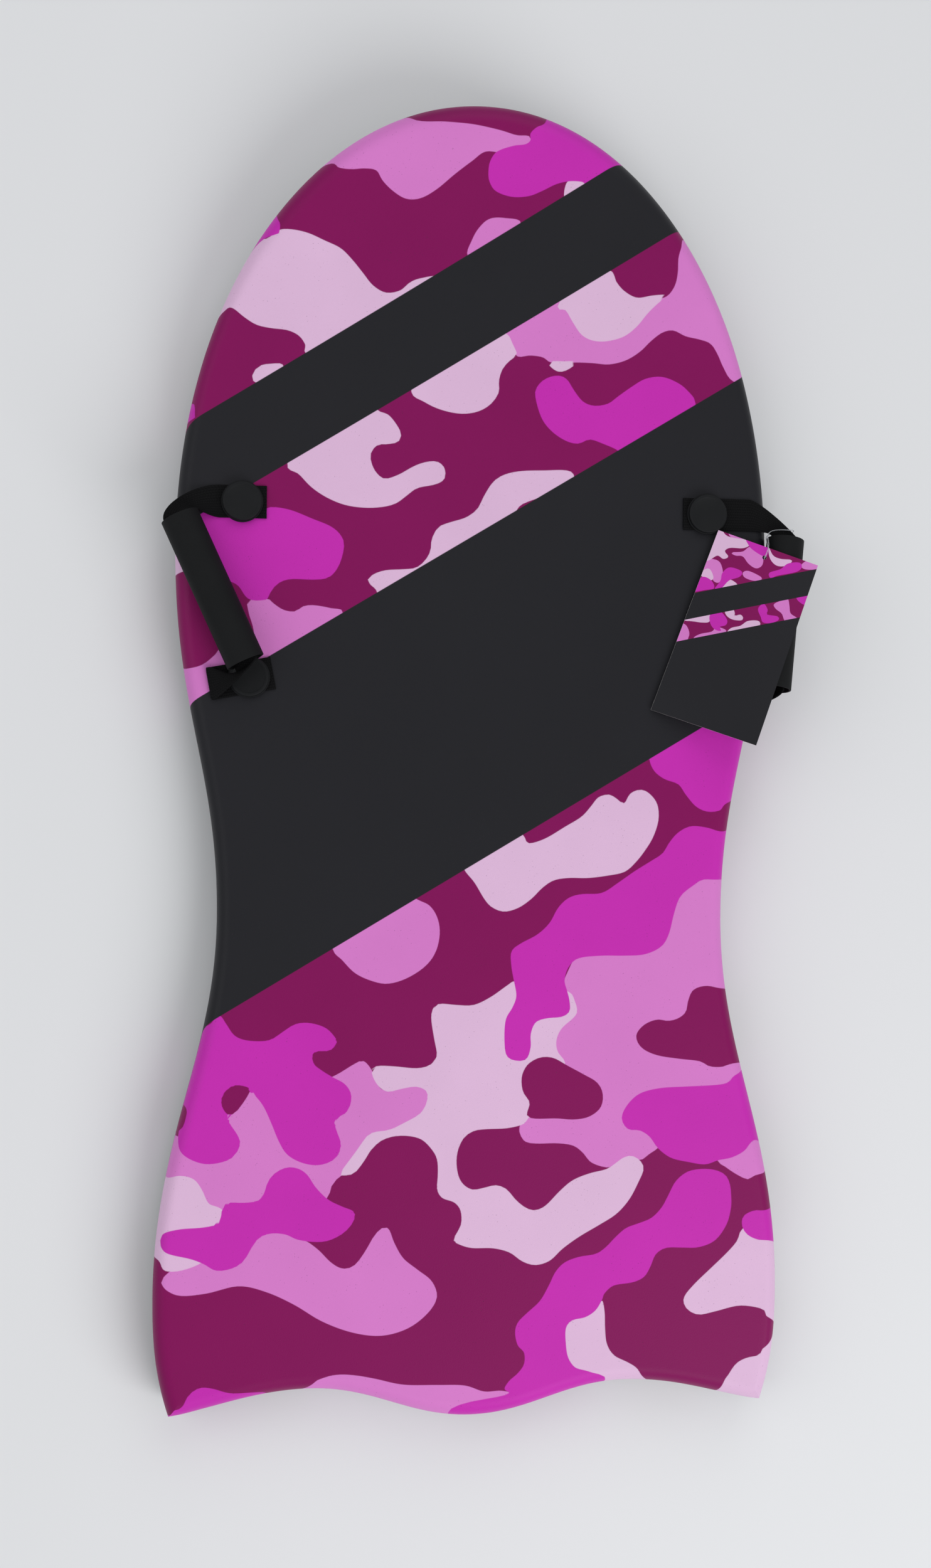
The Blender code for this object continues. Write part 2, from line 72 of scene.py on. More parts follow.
# Light from all round, and the lamps: place, breadth and watts
sky_colour = (0.97, 0.985, 1.0)
sky_strength = 0.42
lamps = {
    "key": ((1.4, -1.9, 2.0), 2.2, 48.0),
    "fill": ((-2.0, 0.2, 2.0), 2.6, 17.0),
    "back": ((0.3, 2.0, 1.9), 2.2, 14.0),
}

# Board, with the values that the part's source gives or works out
board_length = 1.000
hip_width = 0.460
hip_ahead = 0.165
waist_width = 0.392
waist_behind = 0.116
flare_width = 0.483
flare_behind = 0.405
tail_width = 0.458
corner_ahead_of_tail = 0.006
scoop_half_spread = 0.122
scoop_depth = 0.0235
nose_share = (0.567, 0.574)
shoulder_share = (0.450, 0.400)
waist_share = (0.380, 0.420)
flank_share = (0.400, 0.770, 0.330)
tail_edge_share = (0.283, 0.166, 0.420)
bump_share = (0.400, 0.390)
board_thickness = 0.050
skin = 0.002
seam_height = 0.017
rail_side = 0.011
rail_nose = 0.018
rail_tail = 0.013
rail_nose_run = 0.200
rail_tail_run = 0.030
rail_drop_share = 1.25
chine = 0.010
chine_rise = 0.012
nose_lift = 0.040
lift_start_ahead = 0.215
seat = 0.0003

# Steps of the fine board mesh
outline_pitch = 0.004
rail_steps = 12
chine_steps = 8
deck_spokes = 62
slick_spokes = 10
hidden_spokes = 4

# Turns over which an edge is shaded sharp
piece_crease = math.radians(34.0)
webbing_crease = math.radians(60.0)
card_crease = math.radians(40.0)

# Handle anchors and mouldings, with the part's values
front_anchor_out = 0.1798
front_anchor_ahead = 0.1975
rear_anchor_out = 0.1735
rear_anchor_ahead = 0.0647
plug_skirt_radius = 0.0158
plug_skirt_height = 0.0014
plug_head_radius = 0.0149
plug_head_height = 0.0046
plug_head_edge = 0.0008
plug_skirt_edge = 0.0004
plug_dish_radius = 0.0122
plug_dish_depth = 0.0004
plug_shaft_radius = 0.0046
plug_barb = 0.0004
plug_barb_pitch = 0.0045
plug_barb_count = 2
plug_tip_clearance = 0.0030
socket_flange_radius = 0.0180
socket_flange_thickness = 0.0030
socket_sunk = 0.0006
socket_sleeve_radius = 0.0080
socket_floor = 0.0025
turned_steps = 96
edge_steps = 4
plug_turn_each = 1.1
overrun = 0.002

# Webbing and tubes, with the part's values
strap_width = 0.0248
strap_thickness = 0.0016
tab_reach = 0.0185
arm_steps = 48
fold_steps = 14
flat_steps = 8
run_steps = 16
section_steps = 10
edge_thinning_share = 0.55
edge_thinning_power = 12
row_width = 0.0021
stitch_length = 0.0019
stitch_lean = 0.0006
rib_height_share = 0.55
stitch_height_share = 0.45
fuzz_height_share = 0.2
arm_table = {
    "left_strap_front": (-1, 1, 0.0, math.radians(8.0), {
        "flat_share": 0.66, "start_shares": (0.90, 0.35), "end_shares": (0.45, 0.15)}),
    "left_strap_rear": (-1, -1, math.radians(10.8), math.radians(-45.0), {
        "flat_share": 1.15, "start_shares": (0.20, 0.20), "end_shares": (0.12, 0.45),
        "fold_share": 0.065, "rise_share": 0.9}),
    "right_strap_front": (1, 1, 0.0, math.radians(12.0), {
        "flat_share": 1.35, "start_shares": (0.35, 0.35), "end_shares": (0.15, 0.12),
        "rise_share": 0.15}),
    "right_strap_rear": (1, -1, math.radians(20.0), math.radians(-60.0), {
        "flat_share": 0.70, "start_shares": (0.50, 0.20), "end_shares": (0.45, 0.50)}),
}
right_arms = ("right_strap_front", "right_strap_rear")
grip_length = 0.1200
grip_radius = 0.0146
grip_bore_radius = 0.0131
grip_edge = 0.0004
mouth_gap = 0.0006
left_grip_out = 0.2012
left_grip_ahead = 0.1289
left_grip_rise = 0.0186
left_grip_turn = math.radians(24.7)
left_grip_tilt = math.radians(3.2)
right_grip_out = 0.2370
right_grip_ahead = 0.1203
right_grip_rise = 0.0050
right_grip_turn = math.radians(-6.8)
right_grip_tilt = math.radians(6.6)

# Hang card and thread, with the part's values, and where the card rests on the swung-over webbing
card_width = 0.080
card_length = 0.150
card_thickness = 0.0005
card_corner_out = 0.1883
card_corner_ahead = 0.1849
card_turn = math.radians(-20.4)
card_over_grip = 0.0080
card_over_strap = 0.0029
card_over_deck = 0.0030
card_across_steps = 64
card_down_steps = 120
card_face_up = 0.5
card_hole_radius = 0.0016
card_hole_in_share = 0.50
card_hole_down_share = 0.055
loop_radius = 0.00035
loop_clearance = 0.0009
loop_back_share = 0.30
loop_steps = 8

# Print: the layers' colours as they look, and the bands' edges across the board's middle
print_colours = {
    "ground": (128, 9, 86),
    "pink": (214, 124, 201),
    "pale": (222, 184, 217),
    "magenta": (197, 43, 176),
    "magenta_beside": (197, 43, 176),
    "dark": (128, 9, 86),
    "band": (29, 29, 33),
}
print_places = ("print_across", "print_ahead")
print_reach = 0.020
deck_print_softness = 0.0005
card_print_softness = 0.0002
band_edges = (((-0.0752, 0.6011), (0.1780, 0.6140)), ((0.3193, 0.6239), (0.3950, 0.6299)))
card_band_slope = 0.62
card_bands = (0.0527, 0.0750, 0.0933)
blotch_line_steps = 5
distance_chunk = 1500

# Printed film: clouds in its tone, sparse pits darkened with painted shade, and a pebbled grain with a
# finer one on it
film_shine = 0.14
film_cloud_scale = 14.0
film_tones = (0.94, 1.05)
film_patch_share = 0.20
film_pit_share = 0.20
film_pit_slope = 14.0
# Near-black colour mixed into the sunk pits: painted shade in the recesses
film_pit_shade_share = 0.40
film_pit_shade_colour = (0.03, 0.01, 0.03)
film_fine_share = 1.7
film_roughness_shares = (0.10, 0.06)
film_relief_shares = (0.65, 0.35, 0.8)
film_relief_strength = 0.55

CM = 0.01
MM = 0.001
MERGE = 0.000001
TINY = 1e-18
UP = Vector((0.0, 0.0, 1.0))

# Camouflage on the card: smooth closed blotches, in millimetres across it and down it
card_blotches = {
    "pink": (
        ((8, -2), (10, 1.5), (15, 2), (20, 0), (18, -3)),
        ((15.4, 13.2), (23, 9.6), (27, 4.2), (36, 3.9), (40.3, 13.3), (37, 18.4), (30.3, 17), (24.3, 13),
         (19, 14.3)),
        ((-2, 25.3), (8.3, 22.9), (14.5, 30.7), (14.3, 38.5), (9.8, 38.7), (6.2, 33.8), (-2, 32.1)),
        ((28.6, 25.4), (32.3, 22.5), (43.5, 24.2), (39, 28.1), (31.4, 28.3)),
        ((68, 4.5), (72, -1), (82, -1), (79, 3.5), (71.6, 6.2)),
        ((58.5, 40.7), (62.8, 36), (66.7, 33), (69.7, 38.1), (72.3, 43.3), (78, 45.5), (71, 50.5),
         (66.3, 45.6), (61, 43.6)),
        ((-2, 95), (-2, 80), (2.3, 78.8), (6.5, 83.5), (7.1, 88), (6.7, 92)),
        ((11, 86.4), (14.6, 81.7), (22, 77), (24, 72.5), (30.7, 72.1), (31.5, 75), (22, 81.5), (16.2, 87)),
    ),
    "pale": (
        ((-3, -3), (7, 2), (17, 1), (24, -1), (26, 3), (22, 7), (13, 10), (10, 14), (14, 17), (11, 20),
         (6, 19), (1, 25), (-3, 24)),
        ((40, -1), (45.3, 4.4), (51.6, 5.1), (60, 3.1), (58, 8.2), (50.7, 11), (44, 7.2)),
        ((-2, 36.2), (3.4, 31), (8.8, 36), (7.5, 39.2), (-1, 38)),
        ((17, 42.5), (20, 34.2), (27, 35), (27, 38)),
        ((-2, 76), (6, 71), (15.5, 64), (17.6, 70), (12.8, 72.6), (5.8, 74.1)),
        ((26, 58), (30, 54), (33.4, 57.9), (33.2, 60.3), (37.4, 57.2), (40, 58.5), (39.5, 61), (33.3, 62.6),
         (28.3, 61.3)),
        ((33, 75), (34.4, 69.6), (40.4, 65.4), (44.4, 60), (51.7, 57.2), (53.6, 60.4), (47.7, 65),
         (41.7, 70)),
    ),
    "magenta": (
        ((21, -2), (28, -3), (39, -2), (41.3, 6.7), (37.4, 7.4), (30.8, 5.9), (26.2, 3.7)),
        ((47.4, 18.4), (54.4, 12.7), (58.2, 6.6), (66, 2.9), (68.8, 5.8), (65.8, 10.8), (53.5, 18.5),
         (49.7, 22)),
        ((-2, 45.5), (1.3, 38.7), (8.2, 39.2), (12.2, 44), (6, 48), (-2, 52)),
        ((14.2, 30.8), (18, 24.7), (27.4, 24.6), (27.2, 29.1), (20.8, 34.5), (17.5, 42), (13, 45),
         (14.9, 36.8)),
        ((16.5, 65), (22.3, 60), (29.3, 64.1), (30, 68.4), (26, 71.5), (28.3, 73.8), (24, 74.6),
         (19.3, 71.7)),
        ((48.5, 48.3), (51, 43), (55.4, 46.5), (56, 50.2), (63.8, 48.9), (65.4, 51.3), (61, 55.4),
         (55.3, 57), (52.7, 53.8)),
        ((72.7, 29), (82, 22), (82, 32), (76.7, 32.6)),
    ),
    "magenta_beside": (),
    "dark": (),
}

# Camouflage on the deck: smooth closed blotches, in centimetres to the right of the middle and ahead of it
blotches = {
    "pink": (
        ((-23.4, -39.2), (-22.2, -40), (-20.1, -39.9), (-17.7, -39.4), (-15.6, -39.9), (-13.5, -40.9),
         (-11.4, -42.2), (-9.1, -43.1), (-6.9, -43.4), (-4.9, -42.9), (-3.4, -41.8), (-2.7, -40.6),
         (-3.1, -39.4), (-4.2, -38.5), (-5.3, -37.6), (-6, -36.4), (-6.4, -35.4), (-6.9, -35.3),
         (-7.5, -35.9), (-8.2, -37.1), (-9, -38.1), (-9.9, -38.3), (-10.8, -37.8), (-11.8, -36.8),
         (-13, -36), (-15.3, -35.2), (-18, -36.5), (-21, -37), (-23, -38.4)),
        ((-10.8, -23.8), (-9.4, -23), (-8.6, -22.6), (-8.1, -22.9), (-7.6, -23.7), (-7, -24.8),
         (-5.5, -24.7), (-4.4, -24.5), (-3.2, -25.2), (-4.1, -26.9), (-6.3, -28.1), (-7.9, -28.6),
         (-9.2, -30.3), (-9.9, -31.1), (-10.7, -31.8), (-11.1, -32.9), (-12.5, -34), (-15, -34.5),
         (-18, -34.5), (-20.5, -34), (-23, -32.5), (-26, -32), (-26, -27.9), (-23.2, -28.1),
         (-21, -28.3), (-19.5, -27.2), (-18.8, -26.6), (-18.5, -25.8), (-17, -24.4), (-14, -25)),
        ((7, -16.5), (6.2, -19), (5.5, -22), (5, -25), (4.3, -27), (3.8, -27.4), (3.6, -28), (4, -28.8),
         (4.9, -29), (6.5, -29), (7.8, -29.2), (8.6, -29.8), (9.2, -30.5), (10.3, -30.9), (11, -30.8),
         (11.6, -30.3), (12.6, -30.3), (13.1, -30.4), (13.8, -29.9), (14.4, -29.5), (16, -28),
         (19, -26.5), (23, -26), (26, -24), (26, -8), (19.3, -8.2), (16, -9.5), (12, -12), (9, -13)),
        ((19.2, -30.5), (19.8, -31), (20.7, -31.6), (21.6, -32), (22.2, -31.7), (24, -31.2), (24, -29),
         (22, -28.6), (20, -29.5)),
        ((-12, -47), (-11.2, -46.5), (-10.1, -46.3), (-8.8, -46.4), (-7.3, -46.7), (-5.2, -47.2),
         (-2.6, -47.3), (-0.5, -47.4), (1, -47.9), (2.5, -47.9), (3.5, -48.5), (3, -51), (-3, -53),
         (-10, -52), (-13, -49)),
        ((-10.8, -14.1), (-10.1, -14.9), (-9.1, -15.9), (-7.8, -16.5), (-6.6, -16.7), (-5.2, -16.3),
         (-3.8, -15.4), (-3, -14.3), (-2.7, -12.9), (-2.9, -11.7), (-3.5, -10.8), (-4.5, -10.3),
         (-7, -9), (-11, -12)),
        ((-17.4, 12.3), (-16, 12.4), (-15.6, 12.1), (-14.8, 11.6), (-13.9, 11.5), (-13.3, 11.9),
         (-12.5, 12), (-11.2, 11.8), (-10.3, 11.5), (-11, 9.5), (-15, 7), (-16.8, 7.5), (-17, 10),
         (-17.4, 11.4)),
        ((-25, 6.8), (-22.3, 7), (-20.9, 7.3), (-19.9, 8.1), (-19.3, 8.7), (-17.5, 8.5), (-17, 6),
         (-19, 4.5), (-22, 3.5), (-25, 4)),
        ((1.9, 33.2), (2.5, 32.4), (2.9, 31.5), (3.9, 31.6), (4.9, 31.5), (5.5, 31.15), (6.5, 31.1),
         (7.5, 31.2), (8.8, 31.2), (10.1, 31.15), (11.4, 31.5), (12.5, 32.2), (13.3, 33), (14.2, 33.7),
         (15.1, 33.9), (16.1, 33.5), (17.2, 33.3), (18.1, 33), (18.7, 32.2), (19.2, 31.2), (20, 30.2),
         (22, 30), (21.5, 36), (18, 41), (16, 41), (15.5, 40), (15.3, 39.3), (15.3, 38.2), (15.1, 37.2),
         (14.5, 36.4), (13.5, 36.1), (11, 35.5), (8, 36.2), (5.5, 35.6)),
        ((-13, 46), (-11.5, 45.2), (-11, 44.7), (-10.1, 44.6), (-9.1, 44.7), (-8.2, 44.6), (-7.7, 43.9),
         (-6.9, 43.2), (-5.9, 42.7), (-4.8, 42.8), (-3.6, 43.5), (-2.3, 44.6), (-1, 45.6), (0, 46.3),
         (1.5, 46.3), (3.2, 46.8), (3.4, 47.2), (3.2, 47.5), (2.3, 47.5), (1, 47.8), (-1, 48.1),
         (-3.1, 48.2), (-5.2, 48.3), (-7, 49.5), (-11, 48.5)),
        ((-1.1, 38.8), (-0.8, 39.9), (-0.3, 40.8), (0.5, 41.5), (1.7, 41.6), (2.9, 41.3), (2, 39.5),
         (0, 38)),
    ),
    "pale": (
        ((-26, -31.3), (-23.3, -31.3), (-22.1, -31.1), (-21.1, -31.4), (-20.5, -32.2), (-20, -33.2),
         (-19.1, -33.6), (-18.5, -34.5), (-19, -36.5), (-20.5, -37.6), (-21.8, -38.1), (-22.8, -38.2),
         (-23.4, -38), (-23.8, -37.4), (-26, -36.5)),
        ((-3.1, -18.6), (-2.6, -18.3), (-1.3, -18.4), (0, -18.4), (1.3, -17.8), (2.6, -16.9), (3.2, -16.6),
         (5, -16.8), (7.3, -17.4), (7.8, -18.1), (8, -18.9), (7.7, -19.4), (6.8, -20.2), (6.4, -21.1),
         (6.5, -22), (7.1, -22.9), (6.5, -24), (5.5, -26), (4.3, -27), (3.9, -27.5), (2.6, -27.8),
         (1, -27.85), (0, -28), (-0.8, -28.6), (-1.25, -29.8), (-1.2, -31.1), (-0.8, -32), (0, -32.5),
         (1, -32.35), (1.8, -32.2), (2.6, -32.5), (3.4, -33.4), (4.2, -34), (4.9, -34.15), (5.7, -33.8),
         (6.8, -32.7), (7.8, -31.9), (9.1, -31.4), (10.4, -31.1), (11.2, -30.6), (11.7, -30.25),
         (12.35, -30.1), (13, -30.45), (13.3, -31.1), (12.9, -32.1), (12.2, -33.4), (11.2, -34.5),
         (9.9, -35.3), (8.3, -36.2), (7, -37.1), (6, -38), (4.9, -38.3), (3.9, -38), (2.9, -37.3),
         (1.6, -36.95), (0, -36.9), (-1, -36.6), (-1.4, -36.25), (-1, -35.5), (-0.8, -34.9), (-0.9, -34),
         (-1.4, -33.4), (-2.3, -33.05), (-2.7, -32.4), (-2.65, -31.4), (-2.7, -30.2), (-3.1, -29.4),
         (-3.9, -28.6), (-4.9, -28.3), (-6, -28.3), (-7, -28.6), (-7.8, -29.3), (-8.3, -30.1), (-9, -31),
         (-9.6, -31.2), (-10.1, -31.1), (-9.4, -30.1), (-8.7, -29.15), (-8.1, -28.3), (-7.5, -28),
         (-6.4, -27.85), (-5.2, -27.3), (-4, -26.6), (-3.5, -25.6), (-3.6, -24.9), (-4.4, -24.55),
         (-5.5, -24.7), (-6.6, -24.9), (-7.4, -24.3), (-7.8, -23.3), (-7.3, -23), (-6, -23.05),
         (-4.4, -23.2), (-3.4, -23), (-2.9, -22.5), (-2.8, -22), (-3, -21), (-3.25, -19.4)),
        ((10.05, -41.1), (10.3, -42), (10.35, -43.3), (10.5, -44.5), (11.05, -45.4), (12, -45.9),
         (12.7, -46.3), (13.1, -46.8), (13.8, -49), (10, -51), (8, -48), (6.5, -45), (7.5, -42),
         (9.3, -41.5)),
        ((21.2, -35.9), (20.8, -36.8), (20, -37.7), (18.7, -38.9), (17.4, -40.1), (16.6, -41.1),
         (16.8, -41.9), (17.7, -42.4), (19, -42.2), (20.8, -41.8), (22.1, -41.9), (23, -42.2),
         (23.4, -42.8), (26, -43.5), (27, -38), (25, -35.5), (22.5, -35.5)),
        ((19.7, -48), (20.2, -47.1), (20.8, -46.3), (21.6, -45.9), (22.6, -45.7), (23.1, -45.1),
         (25.5, -44.5), (27, -50), (22, -52), (19, -51)),
        ((-0.8, -8), (0, -9), (0.8, -10.3), (1.4, -10.9), (2.3, -11.2), (3.4, -10.9), (4.4, -10.2),
         (5.2, -9.4), (6.1, -8.8), (7.3, -8.6), (8.8, -8.6), (10.4, -8.4), (11.7, -8.1), (12.6, -7.3),
         (13.3, -6.4), (13.9, -5.4), (14.3, -4.1), (14.2, -2.9), (13.6, -2.1), (12.9, -1.8), (12.1, -2.1),
         (11.6, -2.9), (11, -2.5), (10.4, -2.2), (9.6, -2.4), (9.1, -3), (8.3, -3.9), (7, -4.7),
         (5.5, -5.6), (4.3, -6), (3.9, -5.8), (3.6, -5.3), (2, -5.2), (-1, -7)),
        ((-14.6, 22.8), (-13.7, 22), (-12.7, 21), (-11.4, 20.2), (-9.9, 19.7), (-8.1, 19.6), (-6.5, 19.9),
         (-5.5, 20.6), (-4.7, 21.2), (-3.4, 21.5), (-2.65, 21.9), (-2.6, 22.7), (-3.1, 23.2),
         (-3.9, 23.2), (-4.9, 22.85), (-6.1, 22.15), (-7.15, 21.8), (-7.8, 22.2), (-8.2, 22.9),
         (-8.3, 23.7), (-7.8, 24.4), (-7, 24.5), (-6.2, 24.7), (-6, 25.3), (-6.4, 26.05), (-7, 26.7),
         (-7.8, 27), (-9, 28), (-13, 26)),
        ((7.5, 22.4), (6.9, 22.85), (5.2, 22.8), (3.4, 22.7), (2.1, 22.4), (1.2, 21.8), (0.5, 20.7),
         (0, 19.7), (-0.9, 19), (-2.1, 18.6), (-3, 18.2), (-3.5, 17.3), (-3.6, 16.4), (-4, 15.65),
         (-4.7, 15.05), (-5.7, 14.9), (-7, 14.8), (-7.9, 14.5), (-8.4, 14), (-7.8, 13.4), (-6.5, 12.5),
         (0, 16.5), (2.5, 19), (3.2, 20), (3.9, 20.4), (5, 20.75), (7, 21)),
        ((6, 35.4), (8, 38.5), (10, 38.1), (10.4, 37.4), (11.05, 36.7), (12.1, 36.2), (13.3, 36.4),
         (14.2, 36.5), (14.4, 36.4), (13.8, 35.9), (13, 35.1), (12.2, 34.1), (11.2, 33.3), (9.9, 32.9),
         (8.8, 32.9), (7.9, 33.3), (7.2, 34.2), (6.6, 35.1)),
        ((5.4, 31.15), (5.6, 30.75), (6.2, 30.45), (6.9, 30.65), (7.5, 31.2), (6.5, 31.2)),
        ((-5.2, 28.6), (-4.2, 27.8), (-2.9, 27.25), (-1.4, 27), (-0.1, 27.2), (0.9, 27.8), (1.5, 28.7),
         (1.5, 29.6), (1.8, 30.55), (2.5, 31.3), (2.9, 31.5), (2.5, 32.4), (1.95, 33.15), (0, 33.5),
         (-4, 31)),
        ((-22, 34), (-19.6, 34.2), (-19.2, 34.4), (-18.7, 34.2), (-17.9, 33.6), (-17, 33.1),
         (-15.9, 32.9), (-14.7, 32.8), (-13.8, 32.4), (-13.3, 31.7), (-13.3, 31.1), (-12, 31),
         (-7, 34.5), (-3.5, 37), (-4.7, 36.95), (-5.5, 36.6), (-6.2, 36), (-7.3, 35.8), (-8.3, 36.3),
         (-9.1, 37.2), (-9.9, 38.1), (-10.8, 38.9), (-12, 39.4), (-13.3, 39.9), (-14.6, 40.1),
         (-15.6, 40), (-16.6, 39.5), (-19, 41), (-22, 38)),
        ((-17.2, 28.9), (-17.2, 29.5), (-16.8, 30), (-16, 30.2), (-14.95, 30.1), (-15.5, 28.5)),
        ((6.2, 43.2), (6.4, 44.45), (7.5, 44.5), (8, 43.9), (7, 42.5)),
        ((-25, 17), (-22.9, 15.8), (-22.3, 14.9), (-22.4, 14.4), (-25, 14.3)),
    ),
    "magenta": (
        ((-24, -19.5), (-20.5, -19.9), (-19.4, -19.1), (-18.85, -19.7), (-18.2, -20.6), (-17.2, -21),
         (-15.6, -21), (-14.6, -20.4), (-13.65, -19.8), (-12.6, -19.7), (-11.4, -20.05), (-10.7, -20.7),
         (-10.5, -21.2), (-11, -21.75), (-12, -21.8), (-12.35, -22.1), (-12.2, -22.8), (-11.6, -23.3),
         (-10.8, -23.8), (-9.9, -24.3), (-9.4, -25), (-9.4, -25.8), (-9.75, -26.5), (-10.6, -27),
         (-10.45, -27.85), (-10.1, -28.9), (-10.4, -29.8), (-11.2, -30.3), (-12.2, -30.4),
         (-13.3, -30.1), (-14.2, -29.5), (-14.8, -28.5), (-15.3, -27.3), (-15.9, -26), (-16.5, -25.2),
         (-17, -24.8), (-18.2, -26.4), (-18.8, -26.5), (-18.5, -27.2), (-17.9, -28.1), (-17.7, -28.8),
         (-18.2, -29.7), (-19.1, -30.1), (-20.3, -30.2), (-21.45, -29.8), (-22.2, -29.15),
         (-22.5, -28.2), (-22.6, -27.4), (-23.5, -27), (-25, -24)),
        ((19.4, -5), (18.2, -4.7), (16.9, -4.6), (15.9, -5.1), (15.2, -5.9), (14.7, -6.7), (13.8, -7.3),
         (12.5, -8.1), (11.2, -9), (9.9, -9.8), (8.3, -9.9), (7.3, -10.2), (6.5, -10.95),
         (5.85, -12.1), (4.9, -13), (3.6, -13.7), (2.9, -14.3), (2.9, -15.4), (3.1, -16.5),
         (3.3, -17.7), (3, -18.6), (2.5, -19.5), (2.4, -21), (2.6, -22.3), (3.4, -22.65), (4.1, -22.5),
         (4.4, -21.6), (4.4, -20.6), (4.8, -19.7), (5.7, -19.4), (6.8, -19.3), (7.4, -18.9),
         (7.4, -18.1), (7.2, -17.3), (7, -16.5), (7.3, -15.5), (8.1, -14.8), (9.9, -14.6),
         (11.7, -14.6), (13.3, -14.5), (14.6, -13.9), (15.2, -12.9), (15.6, -11.3), (16.1, -10),
         (17.2, -9.1), (17.9, -8.7), (19.1, -8.7), (22, -8.6), (24, -7), (22, -5)),
        ((11.6, -27.2), (12, -26.2), (13, -25.3), (14.6, -24.9), (16.6, -24.8), (19, -24.7),
         (20, -24.5), (20.7, -23.9), (23, -23.5), (25, -26), (24, -29), (22.1, -29), (21.3, -29.8),
         (20.3, -30.3), (19.2, -30.5), (18.2, -30.8), (16.9, -30.6), (15.6, -30.3), (14.8, -29.8),
         (14.3, -29.3), (13.8, -28.6), (13, -28.1), (12.1, -28)),
        ((21.2, -35.65), (21.3, -34.9), (22.1, -34.5), (22.9, -34.5), (26, -34.5), (26, -37.2),
         (23.3, -36.8), (22.4, -36.7), (21.6, -36.3)),
        ((-22.5, -48.9), (-21.8, -48.4), (-21.3, -47.5), (-20.5, -47), (-19.5, -47.1), (-18.2, -47.5),
         (-15.5, -48), (-17, -51), (-22, -52), (-25, -50)),
        ((13.6, 0.6), (14, -0.3), (14.8, -0.9), (15.9, -1.3), (16.5, -2.1), (17.3, -3), (18.2, -3.4),
         (19.2, -3.3), (19.9, -2.7), (23, -2), (25, 2), (21, 5), (17, 4), (13.5, 2)),
        ((-23, 20), (-21.3, 19), (-18.2, 18.7), (-16.1, 19.3), (-15.6, 19.4), (-14.3, 19.2),
         (-12.7, 18.6), (-11.2, 18), (-10.4, 17.2), (-10.3, 16.3), (-10.7, 15), (-11.4, 14.2),
         (-12.5, 14), (-14.3, 14), (-15.3, 13.6), (-15.9, 12.8), (-16.1, 12.4), (-17.4, 12.4),
         (-18.2, 13.4), (-19, 13.8), (-20.5, 14.5), (-22, 16.5)),
        ((4.4, 28.5), (4.55, 29.25), (5.2, 29.85), (6.1, 30.1), (6.8, 29.85), (7.4, 29), (8.1, 28.2),
         (9, 27.9), (10.1, 28.1), (10.9, 28.7), (12, 29.5), (13, 30.1), (14.2, 30.3), (15.3, 30),
         (16.25, 29.4), (17, 28.3), (16, 26.5), (12, 24), (10.9, 24.6), (9.9, 25), (8.7, 25.35),
         (7.8, 25), (6.8, 25.2), (5.7, 25.9), (4.9, 26.9)),
        ((-19, 39), (-16.7, 39.6), (-15.5, 39.8), (-15.4, 40.3), (-15.6, 40.9), (-17, 42.5), (-20, 41)),
        ((0.3, 44.85), (0.4, 45.6), (0.9, 46.3), (2.1, 46.75), (3, 46.9), (3.4, 47.2), (3.4, 47.7),
         (3.9, 48.2), (4.5, 48.6), (6, 50.5), (12, 48), (11, 45.5), (8.5, 43.5), (7.8, 44.3),
         (7.5, 44.5), (6.5, 44.5), (5.5, 44.25), (4.4, 43.7), (3.4, 43.3), (2.1, 43.2), (0.9, 43.55),
         (0.4, 44.2)),
        ((-22, 27.2), (-21.7, 26.6), (-21.8, 26), (-24, 26), (-24, 27.5)),
    ),
    "magenta_beside": (
        ((-23.66, -36), (-23.3, -35.4), (-22.1, -35.1), (-20.4, -35), (-19.2, -34.7), (-19, -33.8),
         (-18.6, -33.2), (-17.4, -33.2), (-16.4, -33.1), (-15.9, -32.7), (-15.6, -31.75),
         (-15.1, -31.05), (-14.2, -30.6), (-13.3, -30.7), (-12.6, -31.2), (-12, -32.1),
         (-11.05, -33.05), (-10, -33.6), (-9.1, -34), (-9.05, -34.6), (-9.75, -35.5), (-10.9, -36.1),
         (-12, -36.2), (-13.3, -36), (-14.2, -35.6), (-15.3, -35.5), (-16.2, -35.8), (-16.8, -36.6),
         (-17.4, -37.6), (-18.3, -38.1), (-19.4, -38.2), (-20.3, -37.7), (-21.3, -37.3),
         (-22.75, -36.95), (-23.4, -36.6)),
        ((20.25, -33.2), (20.15, -32.4), (19.8, -31.7), (19, -31.3), (17.9, -31.2), (16.8, -31.4),
         (15.9, -32.1), (15.3, -33.2), (14.8, -34.1), (14, -34.9), (13, -35.3), (12, -35.65),
         (11.2, -36.3), (10.4, -37.1), (9.6, -37.6), (8.3, -37.8), (7.2, -38.2), (6.5, -38.9),
         (6, -39.9), (5.3, -41.1), (4.3, -42), (3.6, -42.7), (3.4, -43.45), (3.6, -44.4), (4.1, -45),
         (4.1, -45.9), (3.6, -46.6), (3, -47.1), (2.6, -47.7), (2.7, -48.2), (-1.5, -49.2), (0, -52),
         (9, -51), (10.5, -47.5), (9.1, -46.6), (8.1, -46.3), (7.5, -45.5), (7.3, -44.4),
         (7.3, -43.2), (7.8, -42.6), (8.8, -42.4), (9.6, -41.9), (10.1, -41.1), (10.3, -40.6),
         (11.05, -40), (12.5, -39.8), (13.4, -39.4), (13.9, -38.6), (14.3, -37.7), (15.1, -37.2),
         (16.4, -37.2), (17.7, -37.2), (19, -36.7), (19.9, -35.5), (20.25, -34.2)),
    ),
    "dark": (
        ((-19.1, -25.4), (-18.9, -24.9), (-18.3, -24.4), (-17.55, -24.4), (-17, -24.7), (-17.4, -25.5),
         (-18.1, -26.4), (-18.6, -26.5), (-19, -26)),
